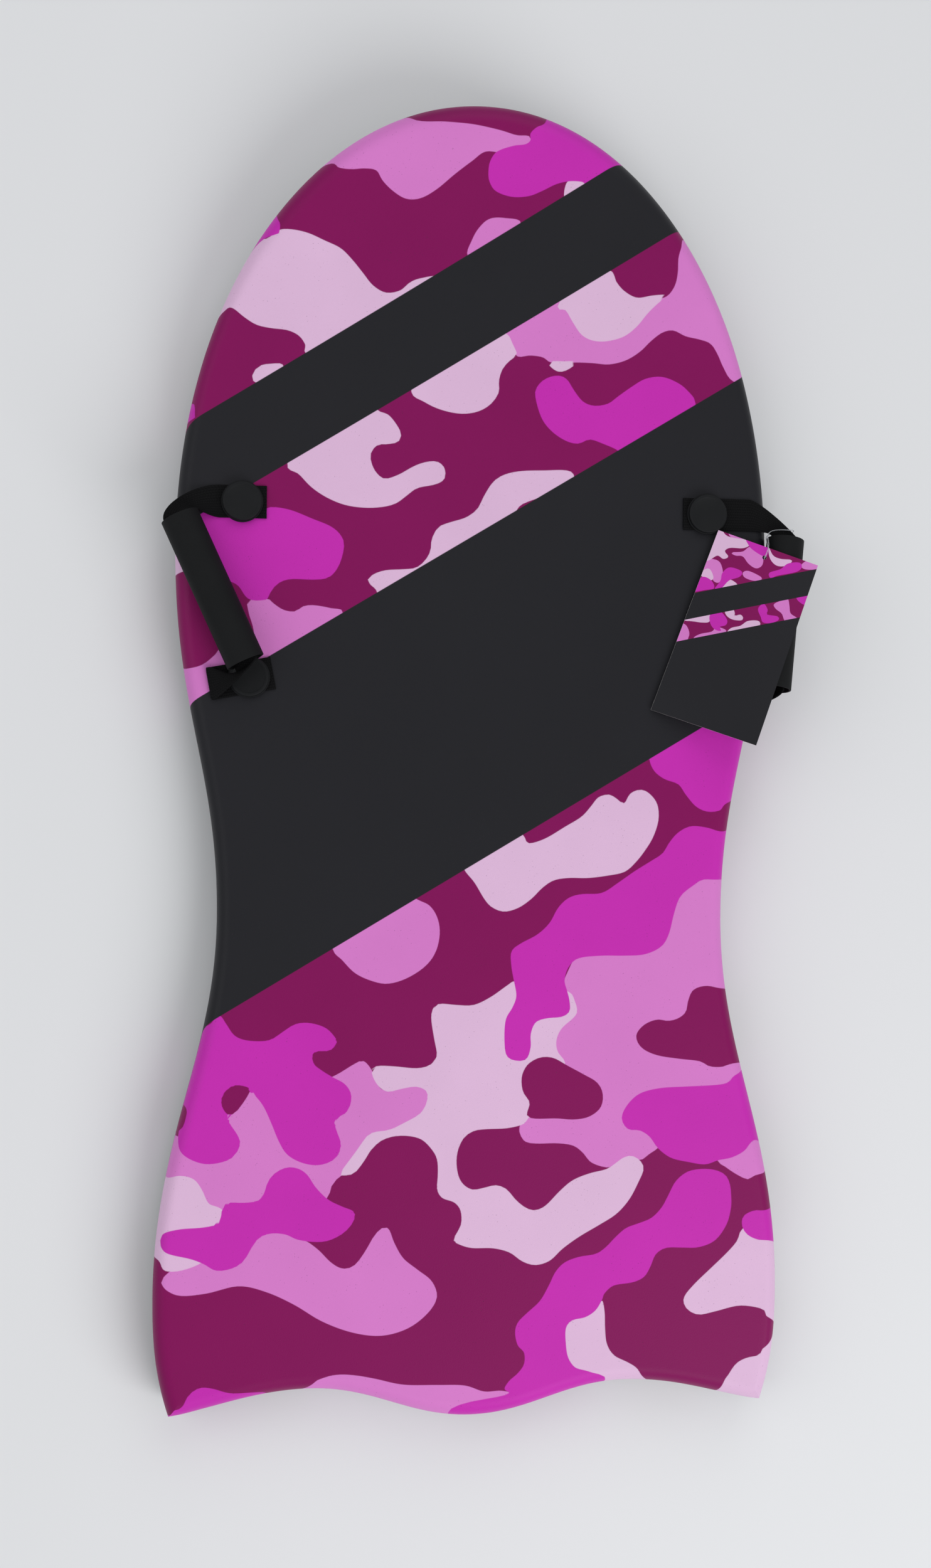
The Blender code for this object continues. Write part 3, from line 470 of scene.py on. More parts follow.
        ((-21.9, -26.1), (-21.9, -26.9), (-22.3, -27.6), (-24, -28), (-25, -26.5), (-23, -25.8)),
        ((3.85, -23.6), (4.3, -22.9), (5.2, -22.45), (6.2, -22.5), (7.3, -23.1), (8.6, -23.8),
         (9.6, -24.4), (10.05, -25.25), (9.9, -26.3), (9, -27), (7.8, -27.2), (6.5, -27.1),
         (4.3, -27), (4.4, -25.9), (3.9, -25.1), (3.75, -24.3)),
        ((19.4, -17.2), (18.2, -17), (17.2, -17.3), (16.8, -18.1), (16.6, -19), (16, -19.5),
         (15.2, -19.7), (14.3, -19.6), (13.3, -20), (12.7, -20.8), (13.1, -21.7), (14.3, -22.3),
         (16.1, -22.6), (17.7, -22.8), (18.5, -23.2), (19.5, -23.25), (20.4, -23), (24, -22.5),
         (25, -19), (22, -17.5)),
    ),
}


class Wire:
    """An output of a finish's nodes that takes part in plain sums."""

    def __init__(self, finish, socket):
        self.finish = finish
        self.socket = socket

    def math(self, operation, *values, clamp=False):
        settings = {"operation": operation, "use_clamp": clamp}
        return self.finish.node("Math", settings, dict(enumerate(values)))

    def __add__(self, other):
        return self.math("ADD", self, other)

    def __radd__(self, other):
        return self.math("ADD", other, self)

    def __sub__(self, other):
        return self.math("SUBTRACT", self, other)

    def __rsub__(self, other):
        return self.math("SUBTRACT", other, self)

    def __mul__(self, other):
        return self.math("MULTIPLY", self, other)

    def __rmul__(self, other):
        return self.math("MULTIPLY", other, self)

    def __truediv__(self, other):
        return self.math("DIVIDE", self, other)

    def wave(self):
        return self.math("SINE", self)

    def size(self):
        return self.math("ABSOLUTE", self)

    def held(self):
        """The value kept between 0 and 1."""
        return self.math("ADD", self, 0.0, clamp=True)


class Graph:
    """A tree of shader nodes, with one way to add nodes to it."""

    def __init__(self, tree):
        self.tree = tree

    def plug(self, socket, value):
        if isinstance(value, Wire):
            self.tree.links.new(value.socket, socket)
        elif isinstance(value, tuple) and len(value) == 3 and socket.type == "RGBA":
            socket.default_value = (*value, 1.0)
        else:
            socket.default_value = value

    def node(self, kind, settings=None, inputs=None, output=0):
        made = self.tree.nodes.new("ShaderNode" + kind)
        for name, value in (settings or {}).items():
            setattr(made, name, value)
        for key, value in (inputs or {}).items():
            self.plug(made.inputs[key], value)
        return Wire(self, made.outputs[output])

    def seen(self):
        """1 for the rays that show the backdrop: the camera's, and those that metal and glass send on."""
        camera, glossy, through = [self.node("LightPath", output=word) for word in
                                   ("Is Camera Ray", "Is Glossy Ray", "Is Transmission Ray")]
        return (camera + glossy + through).held()


class Finish(Graph):
    """A procedural material."""

    def __init__(self, name, **fixed):
        self.material = bpy.data.materials.new(name)
        self.material.use_nodes = True
        super().__init__(self.material.node_tree)
        self.shader = self.tree.nodes["Principled BSDF"]
        for socket, value in fixed.items():
            self.give(socket.replace("_", " "), value)

    def give(self, socket, value):
        """Sets or links an input of the surface shader."""
        self.plug(self.shader.inputs[socket], value)

    def place(self):
        """Place on the piece, in metres."""
        return self.node("TexCoord", output="Object")

    def strip(self):
        """Metres across and along a strip, from its UV map."""
        spot = self.node("UVMap")
        return (self.node("SeparateXYZ", inputs={0: spot}, output=0),
                self.node("SeparateXYZ", inputs={0: spot}, output=1))

    def noise(self, scale, detail=2.0, place=None, roughness=0.5):
        return self.node("TexNoise", inputs={"Vector": place or self.place(), "Scale": scale,
                                             "Detail": detail, "Roughness": roughness})

    def cells(self, scale, place=None):
        return self.node("TexVoronoi", inputs={"Vector": place or self.place(), "Scale": scale})

    def stretched(self, shares):
        return self.node("Mapping", inputs={"Vector": self.place(), "Scale": shares})

    def attribute(self, name):
        return self.node("Attribute", {"attribute_name": name}, output="Fac")

    def mix(self, share, first, second, blend="MIX"):
        return self.node("Mix", {"data_type": "RGBA", "blend_type": blend},
                         {0: share, 6: first, 7: second}, output=2)

    def bump(self, height, distance, strength):
        self.give("Normal", self.node("Bump", inputs={"Height": height, "Distance": distance,
                                                      "Strength": strength}))

    def dress(self, grain, cloud, colours, roughness, relief=None):
        """Two colours mixed by a cloud, a roughness varied by grain and cloud, and the grain's relief."""
        plain, by_grain, by_cloud = roughness
        self.give("Base Color", self.mix(cloud, *(linear(colour) for colour in colours)))
        self.give("Roughness", plain + by_grain * grain + by_cloud * cloud)
        if relief:
            self.bump(grain, *relief)
        return self.material


def linear(colour):
    """A colour as it looks, 0 to 255, as the shader's own values."""
    values = []
    for part in colour:
        share = part / 255
        values.append(share / 12.92 if share <= 0.04045 else ((share + 0.055) / 1.055) ** 2.4)
    return tuple(values)


def printed_finish(name, softness, grain_scale, grain_depth, roughness, pit_scale):
    """Satin film printed in layers, each layer's outline read from its own attribute."""
    finish = Finish(name, Specular_IOR_Level=film_shine)
    colour = linear(print_colours["ground"])
    for layer, layer_colour in list(print_colours.items())[1:]:
        mask = (1.0 - finish.attribute("print_" + layer) / softness).held()
        colour = finish.mix(mask, colour, linear(layer_colour))
    cloud = finish.noise(film_cloud_scale, detail=3.0)
    tone = finish.mix(cloud, *((value, value, value) for value in film_tones))
    colour = finish.mix(1.0, colour, tone, "MULTIPLY")
    patch = finish.noise(pit_scale * film_patch_share)
    pit = ((film_pit_share * patch - finish.cells(pit_scale)) * film_pit_slope).held()
    # The sunk pits are darkened towards near black: painted shade in the recesses
    finish.give("Base Color", finish.mix(film_pit_shade_share * pit, colour, film_pit_shade_colour))
    pebble = finish.cells(grain_scale)
    fine = finish.noise(grain_scale * film_fine_share, detail=3.0)
    by_fine, by_cloud = film_roughness_shares
    finish.give("Roughness", roughness + by_fine * fine + by_cloud * (cloud - 0.5))
    raised, raised_fine, sunk = film_relief_shares
    finish.bump(raised * pebble + raised_fine * fine - sunk * pit, grain_depth, film_relief_strength)
    return finish.material


def slick_finish():
    """Smooth dark sheet with faint scuffs along the board."""
    finish = Finish("slick_sheet", Specular_IOR_Level=0.3)
    scuff = finish.noise(260.0, detail=4.0, place=finish.stretched((1.0, 0.03, 1.0)))
    return finish.dress(scuff, finish.noise(9.0, detail=3.0), ((30, 31, 34), (38, 39, 43)),
                        roughness=(0.26, 0.16, 0.06), relief=(0.00006, 0.4))


def foam_finish():
    """White foam of small beads."""
    finish = Finish("white_foam", Specular_IOR_Level=0.3)
    bead = finish.cells(320.0)
    return finish.dress(bead, bead, ((238, 238, 234), (222, 222, 218)),
                        roughness=(0.85, 0.1, 0.0), relief=(0.0004, 0.6))


def moulding_finish():
    """Black moulding with a fine spark-eroded grain."""
    finish = Finish("black_moulding", Specular_IOR_Level=0.12)
    return finish.dress(finish.noise(2600.0, detail=3.0), finish.noise(60.0),
                        ((18, 19, 20), (24, 25, 27)), roughness=(0.45, 0.14, 0.05), relief=(0.00012, 0.45))


def webbing_finish():
    """Black webbing: slanted stitches in rows along it, turned the other way in each next row, with painted
    shade where the weave sits low.
    """
    finish = Finish("black_webbing", Specular_IOR_Level=0.08)
    across, along = finish.strip()
    row = (across * (math.pi / row_width)).wave()
    slanted = along + stitch_lean * row
    stitch = (slanted * (2 * math.pi / stitch_length)).wave()
    height = rib_height_share * row.size() + stitch_height_share * (0.5 + 0.5 * stitch)
    fuzz = finish.noise(1500.0, detail=3.0)
    # Colour follows the weave's height, darker in its grooves and lighter on raised threads: painted shade
    finish.give("Base Color", finish.mix(height.held(), linear((5, 5, 6)), linear((17, 17, 18))))
    finish.give("Roughness", 0.72 + 0.15 * fuzz)
    finish.bump(height + fuzz_height_share * fuzz, distance=0.00035, strength=0.8)
    return finish.material


def grip_finish():
    """Matte black soft tube with fine pores."""
    finish = Finish("black_tube", Specular_IOR_Level=0.12)
    return finish.dress(finish.cells(1500.0), finish.noise(40.0, detail=3.0),
                        ((14, 15, 16), (21, 22, 23)), roughness=(0.58, 0.12, 0.08), relief=(0.00012, 0.4))


def card_edge_finish():
    """Cut edge and back of the card: bare board."""
    finish = Finish("card_board", Specular_IOR_Level=0.3)
    fibre = finish.noise(900.0, detail=4.0)
    return finish.dress(fibre, fibre, ((206, 204, 200), (230, 229, 226)), roughness=(0.7, 0.2, 0.0))


def thread_finish():
    """Clear thread."""
    finish = Finish("clear_thread", Transmission_Weight=0.6, IOR=1.5)
    cloud = finish.noise(800.0)
    return finish.dress(cloud, cloud, ((214, 216, 220), (235, 236, 240)), roughness=(0.12, 0.1, 0.0))


def add_piece(name, mesh, finish):
    made = bpy.data.objects.new(name, mesh)
    if finish is not None:
        mesh.materials.append(finish)
    bpy.context.scene.collection.objects.link(made)
    return made


def plain_mesh(piece):
    """A mesh of the piece as its modifiers leave it."""
    return bpy.data.meshes.new_from_object(piece.evaluated_get(bpy.context.evaluated_depsgraph_get()))


def set_point_values(mesh, name, values):
    attribute = mesh.attributes.new(name, "FLOAT", "POINT")
    attribute.data.foreach_set("value", values.astype(np.float32))


def point_values(mesh, name):
    values = np.zeros(len(mesh.vertices), np.float32)
    mesh.attributes[name].data.foreach_get("value", values)
    return values.astype(float)


def tidy_mesh(mesh, crease=piece_crease):
    """Merges doubles, turns the faces outwards and shades the piece smooth up to its creases."""
    shape = bmesh.new()
    shape.from_mesh(mesh)
    bmesh.ops.remove_doubles(shape, verts=shape.verts[:], dist=MERGE)
    bmesh.ops.dissolve_degenerate(shape, edges=shape.edges[:], dist=MERGE)
    bmesh.ops.recalc_face_normals(shape, faces=shape.faces[:])
    shape.to_mesh(mesh)
    shape.free()
    mesh.shade_smooth()
    mesh.set_sharp_from_angle(angle=crease)
    return mesh


def grid_faces(rows, columns, ring=False):
    """Quads of a grid of points, row by row; a ring joins the last column to the first."""
    index = np.arange(rows * columns).reshape(rows, columns)
    if ring:
        index = np.concatenate([index, index[:, :1]], 1)
    corners = (index[:-1, :-1], index[1:, :-1], index[1:, 1:], index[:-1, 1:])
    return np.stack([corner.ravel() for corner in corners], 1)


def grid_mesh(name, places, ring=False, caps=False):
    rows, columns = places.shape[:2]
    faces = grid_faces(rows, columns, ring).tolist()
    if caps:
        faces += [list(range(columns)), list(range((rows - 1) * columns, rows * columns))]
    mesh = bpy.data.meshes.new(name)
    mesh.from_pydata(places.reshape(-1, 3).tolist(), [], faces)
    return mesh


def bezier(start, first, second, end, steps):
    """Points of a cubic curve, the first one left out."""
    points = []
    for i in range(1, steps + 1):
        t = i / steps
        s = 1.0 - t
        points.append(start * s**3 + first * (3 * s * s * t) + second * (3 * s * t * t) + end * t**3)
    return points


def half_outline():
    """The +X half of the outline from the nose tip to the middle of the tail, and where its corner is."""
    ahead = Vector((0.0, 1.0))
    out = Vector((1.0, 0.0))
    half = board_length / 2
    nose = Vector((0.0, half))
    hip = Vector((hip_width / 2, hip_ahead))
    waist = Vector((waist_width / 2, -waist_behind))
    flare = Vector((flare_width / 2, -flare_behind))
    corner = Vector((tail_width / 2, corner_ahead_of_tail - half))
    scoop = Vector((scoop_half_spread, scoop_depth - half))
    middle = Vector((0.0, -half))
    flank_run = flare.y - corner.y
    tail_run = corner.x - scoop.x
    stretches = (
        (nose, nose + out * (nose_share[0] * hip.x),
         hip + ahead * (nose_share[1] * (nose.y - hip.y)), hip),
        (hip, hip - ahead * (shoulder_share[0] * (hip.y - waist.y)),
         waist + ahead * (shoulder_share[1] * (hip.y - waist.y)), waist),
        (waist, waist - ahead * (waist_share[0] * (waist.y - flare.y)),
         flare + ahead * (waist_share[1] * (waist.y - flare.y)), flare),
        (flare, flare - ahead * (flank_share[0] * flank_run),
         corner + Vector((flank_share[1] * (flare.x - corner.x), flank_share[2] * flank_run)), corner),
        (corner,
         corner + Vector((-tail_edge_share[0] * tail_run, tail_edge_share[1] * (scoop.y - corner.y))),
         scoop + out * (tail_edge_share[2] * tail_run), scoop),
        (scoop, scoop - out * (bump_share[0] * scoop.x),
         middle + out * (bump_share[1] * scoop.x), middle),
    )
    points = [nose]
    corner_index = 0
    for start, first, second, end in stretches:
        steps = math.ceil((end - start).length / outline_pitch)
        points += bezier(start, first, second, end, steps)
        if end is corner:
            corner_index = len(points) - 1
    return np.array(points), corner_index


def inward_mitres(points):
    """For each outline point, the step that insets both of its edges by one unit."""
    mirror = np.array((-1.0, 1.0))
    ring = np.concatenate([points[1:2] * mirror, points, points[-2:-1] * mirror])
    edges = ring[1:] - ring[:-1]
    edges /= np.linalg.norm(edges, axis=1)[:, None]
    inwards = np.stack([edges[:, 1], -edges[:, 0]], 1)
    both = inwards[:-1] + inwards[1:]
    both /= np.linalg.norm(both, axis=1)[:, None]
    return both / (both * inwards[:-1]).sum(1)[:, None]


def smooth_step(value):
    held = np.clip(value, 0.0, 1.0)
    return held * held * (3.0 - 2.0 * held)


def run_lengths(points):
    """Distance of each point along its line."""
    steps = np.linalg.norm(np.diff(points, axis=0), axis=1)
    return np.concatenate([[0.0], np.cumsum(steps)])


def rail_roundings(points, corner_index):
    """How far in the deck's rounded edge reaches at each outline point."""
    towards_nose = smooth_step((points[:, 1] - (board_length / 2 - rail_nose_run)) / rail_nose_run)
    lengths = run_lengths(points)
    towards_tail = smooth_step((lengths - lengths[corner_index]) / rail_tail_run)
    return rail_side + (rail_nose - rail_side) * towards_nose + (rail_tail - rail_side) * towards_tail


def lift(ahead):
    """Height that the nose's upward sweep adds."""
    run = board_length / 2 - lift_start_ahead
    return nose_lift * np.maximum(0.0, (ahead - lift_start_ahead) / run) ** 2


def quarter(steps):
    return [math.pi / 2 * i / steps for i in range(steps + 1)]


def deck_edge(rounding, depth):
    drop = rounding * rail_drop_share
    return [(rounding - (rounding - depth) * math.cos(angle),
             board_thickness - drop + (drop - depth) * math.sin(angle)) for angle in quarter(rail_steps)]


def bottom_edge(depth):
    return [(chine - (chine - depth) * math.cos(angle),
             chine_rise - (chine_rise - depth) * math.sin(angle)) for angle in quarter(chine_steps)[::-1]]


def deck_section(rounding):
    seam = [(skin, seam_height), (0.0, seam_height)]
    return deck_edge(rounding, skin)[::-1] + seam + deck_edge(rounding, 0.0)


def slick_section(rounding):
    top = seam_height - seat
    return bottom_edge(skin) + [(skin, top), (0.0, top)] + bottom_edge(0.0)[::-1]


def spokes(rim, height, steps):
    """Points from a rim in to the board's centre line, spread along it as the rim's own length is."""
    lengths = run_lengths(rim)
    spine = np.zeros_like(rim)
    spine[:, 1] = rim[0, 1] + (rim[-1, 1] - rim[0, 1]) * lengths / lengths[-1]
    share = (np.arange(1, steps + 1) / steps)[None, :, None]
    flat = rim[:, None] * (1 - share) + spine[:, None] * share
    return np.concatenate([flat, np.full((*flat.shape[:2], 1), height)], 2)


def join_at_corner(plan, outline, mitre, corner_index):
    """Puts inset points that ran past the tail corner's mitre line on to it."""

    def side(places):
        offset = places - outline[corner_index]
        return mitre[0] * offset[..., 1] - mitre[1] * offset[..., 0]

    for step in (-1, 1):
        index = corner_index + step
        own_side = side(outline[index])
        past = side(plan[index]) * own_side <= 0
        while past.any():
            plan[index, past] = plan[corner_index, past]
            index += step
            past = side(plan[index]) * own_side <= 0


def board_shell(name, section, first_spokes, last_spokes, finish):
    """A skin of the board, from one flat's centre line round its edge to the other's."""
    outline, corner_index = half_outline()
    mitres = inward_mitres(outline)
    sections = np.array([section(rounding) for rounding in rail_roundings(outline, corner_index)])
    plan = outline[:, None] + mitres[:, None] * sections[..., :1]
    plan[[0, -1], :, 0] = 0.0
    join_at_corner(plan, outline, mitres[corner_index], corner_index)
    rings = np.concatenate([plan, sections[..., 1:]], 2)
    first = spokes(plan[:, 0], sections[0, 0, 1], first_spokes)[:, ::-1]
    last = spokes(plan[:, -1], sections[0, -1, 1], last_spokes)
    half = np.concatenate([first, rings, last], 1)
    half[..., 2] += lift(half[..., 1])

    steps = np.linalg.norm(np.diff(sections, axis=1), axis=2)
    unrolled = np.concatenate([np.cumsum(steps[:, ::-1], 1)[:, ::-1], np.zeros((len(outline), 1))], 1)
    outward = -mitres / np.linalg.norm(mitres, axis=1)[:, None]
    on_edge = plan[:, -1:] + outward[:, None] * unrolled[..., None]
    on_first = np.repeat(on_edge[:, :1], first_spokes, 1)
    on_print = np.concatenate([on_first, on_edge, last[..., :2]], 1)

    rows, columns = half.shape[:2]
    faces = grid_faces(rows, columns)
    count = rows * columns
    other = half * np.array((-1.0, 1.0, 1.0))
    mesh = bpy.data.meshes.new(name)
    places = np.concatenate([half.reshape(-1, 3), other.reshape(-1, 3)])
    mesh.from_pydata(places.tolist(), [], np.concatenate([faces, faces[:, ::-1] + count]).tolist())
    for axis, word in enumerate(print_places):
        side = on_print[..., axis].ravel()
        set_point_values(mesh, word, np.concatenate([side, -side if axis == 0 else side]))
    return add_piece(name, tidy_mesh(mesh), finish)


def anchors():
    return {
        "left_front": Vector((-front_anchor_out, front_anchor_ahead, 0.0)),
        "left_rear": Vector((-rear_anchor_out, rear_anchor_ahead, 0.0)),
        "right_front": Vector((front_anchor_out, front_anchor_ahead, 0.0)),
        "right_rear": Vector((rear_anchor_out, rear_anchor_ahead, 0.0)),
    }


def drill(places, radius, low, high):
    """One cutter made of a round pin at each place."""
    shape = bmesh.new()
    for place in places:
        middle = Matrix.Translation((place.x, place.y, (low + high) / 2))
        bmesh.ops.create_cone(shape, cap_ends=True, segments=turned_steps // 2, radius1=radius,
                              radius2=radius, depth=high - low, matrix=middle)
    mesh = bpy.data.meshes.new("drill")
    shape.to_mesh(mesh)
    shape.free()
    return add_piece("drill", mesh, None)


def cut(piece, cutter):
    """Cuts the piece for good and takes the cutter away."""
    change = piece.modifiers.new("cut", "BOOLEAN")
    change.operation = "DIFFERENCE"
    change.solver = "EXACT"
    change.object = cutter
    mesh = plain_mesh(piece)
    piece.modifiers.clear()
    piece.data = mesh
    bpy.data.objects.remove(cutter, do_unlink=True)


def closed_line(points, unit, steps=blotch_line_steps):
    """A smooth closed line through hand-set points, in metres."""
    here = np.array(points, float)[:, None] * unit
    before, after, beyond = (np.roll(here, shift, 0) for shift in (1, -1, -2))
    t = (np.arange(steps) / steps)[None, :, None]
    line = 2 * here + (after - before) * t + (2 * before - 5 * here + 4 * after - beyond) * t**2
    line = line + (3 * here - before - 3 * after + beyond) * t**3
    return line.reshape(-1, 2) / 2


def blotch_distance(places, line):
    """Signed distance of each place from a closed line, negative inside, held at the print's reach."""
    result = np.full(len(places), print_reach)
    low, high = line.min(0) - print_reach, line.max(0) + print_reach
    near = np.flatnonzero(((places > low) & (places < high)).all(1))
    ends = np.roll(line, -1, 0)
    along = ends - line
    squared = np.maximum((along**2).sum(1), TINY)
    rise = np.where(along[:, 1] == 0.0, 1.0, along[:, 1])
    for chunk in np.array_split(near, max(1, len(near) // distance_chunk)):
        offset = places[chunk][:, None] - line[None]
        share = np.clip((offset * along).sum(2) / squared, 0.0, 1.0)
        gap = np.sqrt(((offset - along * share[..., None]) ** 2).sum(2)).min(1)
        height = places[chunk][:, None, 1]
        passes = (line[:, 1] > height) != (ends[:, 1] > height)
        beside = offset[..., 0] < along[:, 0] * offset[..., 1] / rise
        inside = (passes & beside).sum(1) % 2 == 1
        result[chunk] = np.where(inside, -gap, gap)
    return np.clip(result, -print_reach, print_reach)


def layer_distance(outlines, unit, places):
    """Signed distance of each place from the nearest of a layer's blotches."""
    parts = [blotch_distance(places, closed_line(points, unit)) for points in outlines]
    return np.min([np.full(len(places), print_reach), *parts], axis=0)


def set_print(mesh, distances):
    for layer, values in distances.items():
        set_point_values(mesh, "print_" + layer, values)


def mesh_places(mesh):
    """The places of a mesh's points, one row each."""
    places = np.zeros(len(mesh.vertices) * 3, np.float32)
    mesh.vertices.foreach_get("co", places)
    return places.reshape(-1, 3).astype(float)


def band_distance(places):
    """Signed distance from the two slanting dark bands."""
    parts = []
    for (low, low_slope), (high, high_slope) in band_edges:
        under = (low + low_slope * places[:, 0] - places[:, 1]) / math.hypot(1.0, low_slope)
        over = (places[:, 1] - high - high_slope * places[:, 0]) / math.hypot(1.0, high_slope)
        parts.append(np.maximum(under, over))
    return np.min(parts, axis=0)


def print_deck(deck):
    """Works out how far each point of the deck's film is from each layer of the print."""
    mesh = deck.data
    on_print = np.stack([point_values(mesh, word) for word in print_places], 1)
    places = mesh_places(mesh)
    # Round a bore, where the cut adds points, the plan is the print
    for spot in anchors().values():
        near = np.linalg.norm(places[:, :2] - np.array(spot)[:2], axis=1) < 2 * plug_shaft_radius
        on_print[near] = places[near, :2]
    distances = {layer: layer_distance(outlines, CM, on_print) for layer, outlines in blotches.items()}
    distances["band"] = band_distance(on_print)
    set_print(mesh, distances)


def turned_mesh(name, profile, closed):
    """A turned piece: its half profile, radius and height, swept once round Z."""
    line = np.array(profile)
    angles = np.arange(turned_steps) * 2 * math.pi / turned_steps
    if closed:
        line = np.concatenate([line, line[:1]])
    places = np.stack([line[:, None, 0] * np.cos(angles), line[:, None, 0] * np.sin(angles),
                       np.repeat(line[:, 1:], turned_steps, 1)], 2)
    return tidy_mesh(grid_mesh(name, places, ring=True))


def rounded(corner_radius, corner_height, edge, start):
    """A quarter round of a turned profile, from the given angle through a right angle clockwise."""
    turns = [start - angle for angle in quarter(edge_steps)]
    return [(corner_radius + edge * math.cos(turn), corner_height + edge * math.sin(turn))
            for turn in turns]


def strap_level():
    return board_thickness + seat + strap_thickness / 2


def head_level():
    return board_thickness + 2 * seat + strap_thickness


def bore_radius():
    return plug_shaft_radius + plug_barb + seat


def plug_profile():
    top = head_level() + plug_head_height
    skirt_top = head_level() + plug_skirt_height
    tip = socket_sunk + socket_floor + plug_tip_clearance
    half_turn = math.pi / 2
    profile = [(0.0, top - plug_dish_depth), (plug_dish_radius - plug_dish_depth, top - plug_dish_depth),
               (plug_dish_radius, top - plug_dish_depth / 2), (plug_dish_radius + plug_dish_depth, top)]
    profile += rounded(plug_head_radius - plug_head_edge, top - plug_head_edge, plug_head_edge, half_turn)
    profile += [(plug_head_radius, skirt_top)]
    profile += rounded(plug_skirt_radius - plug_skirt_edge, skirt_top - plug_skirt_edge, plug_skirt_edge,
                       half_turn)
    profile += [(plug_skirt_radius, head_level()), (plug_shaft_radius, head_level())]
    for i in range(plug_barb_count):
        low = tip + plug_barb_pitch * (plug_barb_count - i)
        profile += [(plug_shaft_radius, low), (plug_shaft_radius + plug_barb, low),
                    (plug_shaft_radius, low - plug_barb_pitch / 2)]
    profile += [(plug_shaft_radius, tip + plug_barb), (plug_shaft_radius - plug_barb, tip), (0.0, tip)]
    return profile


def socket_profile():
    bore = bore_radius()
    top = board_thickness - skin - 2 * seat
    floor = socket_sunk + socket_floor
    flange_top = socket_sunk + socket_flange_thickness
    return [(0.0, floor), (bore, floor), (bore, top), (socket_sleeve_radius, top),
            (socket_sleeve_radius, flange_top), (socket_flange_radius, flange_top),
            (socket_flange_radius, socket_sunk), (0.0, socket_sunk)]


def grip_profile():
    """Section of the tube's wall, all round, with a small round on each edge."""
    half = grip_length / 2
    profile = []
    for radius, height, start in (
            (grip_bore_radius + grip_edge, half - grip_edge, math.pi),
            (grip_radius - grip_edge, half - grip_edge, math.pi / 2),
            (grip_radius - grip_edge, grip_edge - half, 0.0),
            (grip_bore_radius + grip_edge, grip_edge - half, -math.pi / 2)):
        profile += rounded(radius, height, grip_edge, start)
    return profile


def repeat_tree(finish):
    """Geometry nodes: a master piece at each spot, each turned on by one more step."""
    tree = bpy.data.node_groups.new("at_each_spot", "GeometryNodeTree")
    face = tree.interface
    face.new_socket("Spots", in_out="INPUT", socket_type="NodeSocketGeometry")
    master = face.new_socket("Master", in_out="INPUT", socket_type="NodeSocketObject")
    turn = face.new_socket("Turn each", in_out="INPUT", socket_type="NodeSocketFloat")
    face.new_socket("Pieces", in_out="OUTPUT", socket_type="NodeSocketGeometry")
    nodes = {}
    for word, kind in (("into", "NodeGroupInput"), ("info", "GeometryNodeObjectInfo"),
                       ("index", "GeometryNodeInputIndex"), ("times", "ShaderNodeMath"),
                       ("angles", "ShaderNodeCombineXYZ"), ("place", "GeometryNodeInstanceOnPoints"),
                       ("real", "GeometryNodeRealizeInstances"), ("paint", "GeometryNodeSetMaterial"),
                       ("out", "NodeGroupOutput")):
        nodes[word] = tree.nodes.new(kind)
    nodes["times"].operation = "MULTIPLY"
    nodes["paint"].inputs["Material"].default_value = finish
    for source, output, target, entry in (
            ("into", "Spots", "place", "Points"), ("into", "Master", "info", "Object"),
            ("info", "Geometry", "place", "Instance"), ("index", 0, "times", 0),
            ("into", "Turn each", "times", 1), ("times", 0, "angles", "Z"),
            ("angles", 0, "place", "Rotation"), ("place", 0, "real", 0), ("real", 0, "paint", 0),
            ("paint", 0, "out", 0)):
        tree.links.new(nodes[source].outputs[output], nodes[target].inputs[entry])
    return tree, master.identifier, turn.identifier


def at_anchors(name, master_mesh, finish):
    """The same moulding at all four anchors, as one plain mesh."""
    master = add_piece(name + "_master", master_mesh, finish)
    spots = bpy.data.meshes.new(name)
    spots.from_pydata([tuple(place) for place in anchors().values()], [], [])
    made = add_piece(name, spots, None)
    tree, master_key, turn_key = repeat_tree(finish)
    change = made.modifiers.new("at_each_spot", "NODES")
    change.node_group = tree
    change[master_key] = master
    change[turn_key] = plug_turn_each
    mesh = plain_mesh(made)
    made.modifiers.clear()
    made.data = mesh
    bpy.data.objects.remove(master, do_unlink=True)
    return made


def grip_pose(side):
    """Middle of a grip tube and the direction of its front end."""
    if side < 0:
        middle = Vector((-left_grip_out, left_grip_ahead, board_thickness + left_grip_rise))
        turn, tilt = left_grip_turn, left_grip_tilt
    else:
        middle = Vector((right_grip_out, right_grip_ahead, board_thickness + right_grip_rise))
        turn, tilt = right_grip_turn, right_grip_tilt
    flat = math.cos(tilt)
    return middle, Vector((-math.sin(turn) * flat, math.cos(turn) * flat, -math.sin(tilt)))


def outboard_of_tube(side):
    """The level direction square to a tube, away from the board's middle."""
    return grip_pose(side)[1].cross(UP).normalized() * side


def half_strap(side, twist):
    """Half the webbing's width in its tube, towards outboard and turned about the tube by its twist."""
    turn = Matrix.Rotation(twist, 4, grip_pose(side)[1])
    return (turn @ outboard_of_tube(side)) * (strap_width / 2)


def mouth(side, end, twist):
    """Where the webbing meets the tube: its centre, the way out, and half its width towards outboard."""
    middle, forward = grip_pose(side)
    way_out = forward * end
    return middle + way_out * (grip_length / 2 + mouth_gap), way_out, half_strap(side, twist)


def anchor_at(side, end):
    return anchors()[("left" if side < 0 else "right") + ("_front" if end > 0 else "_rear")]


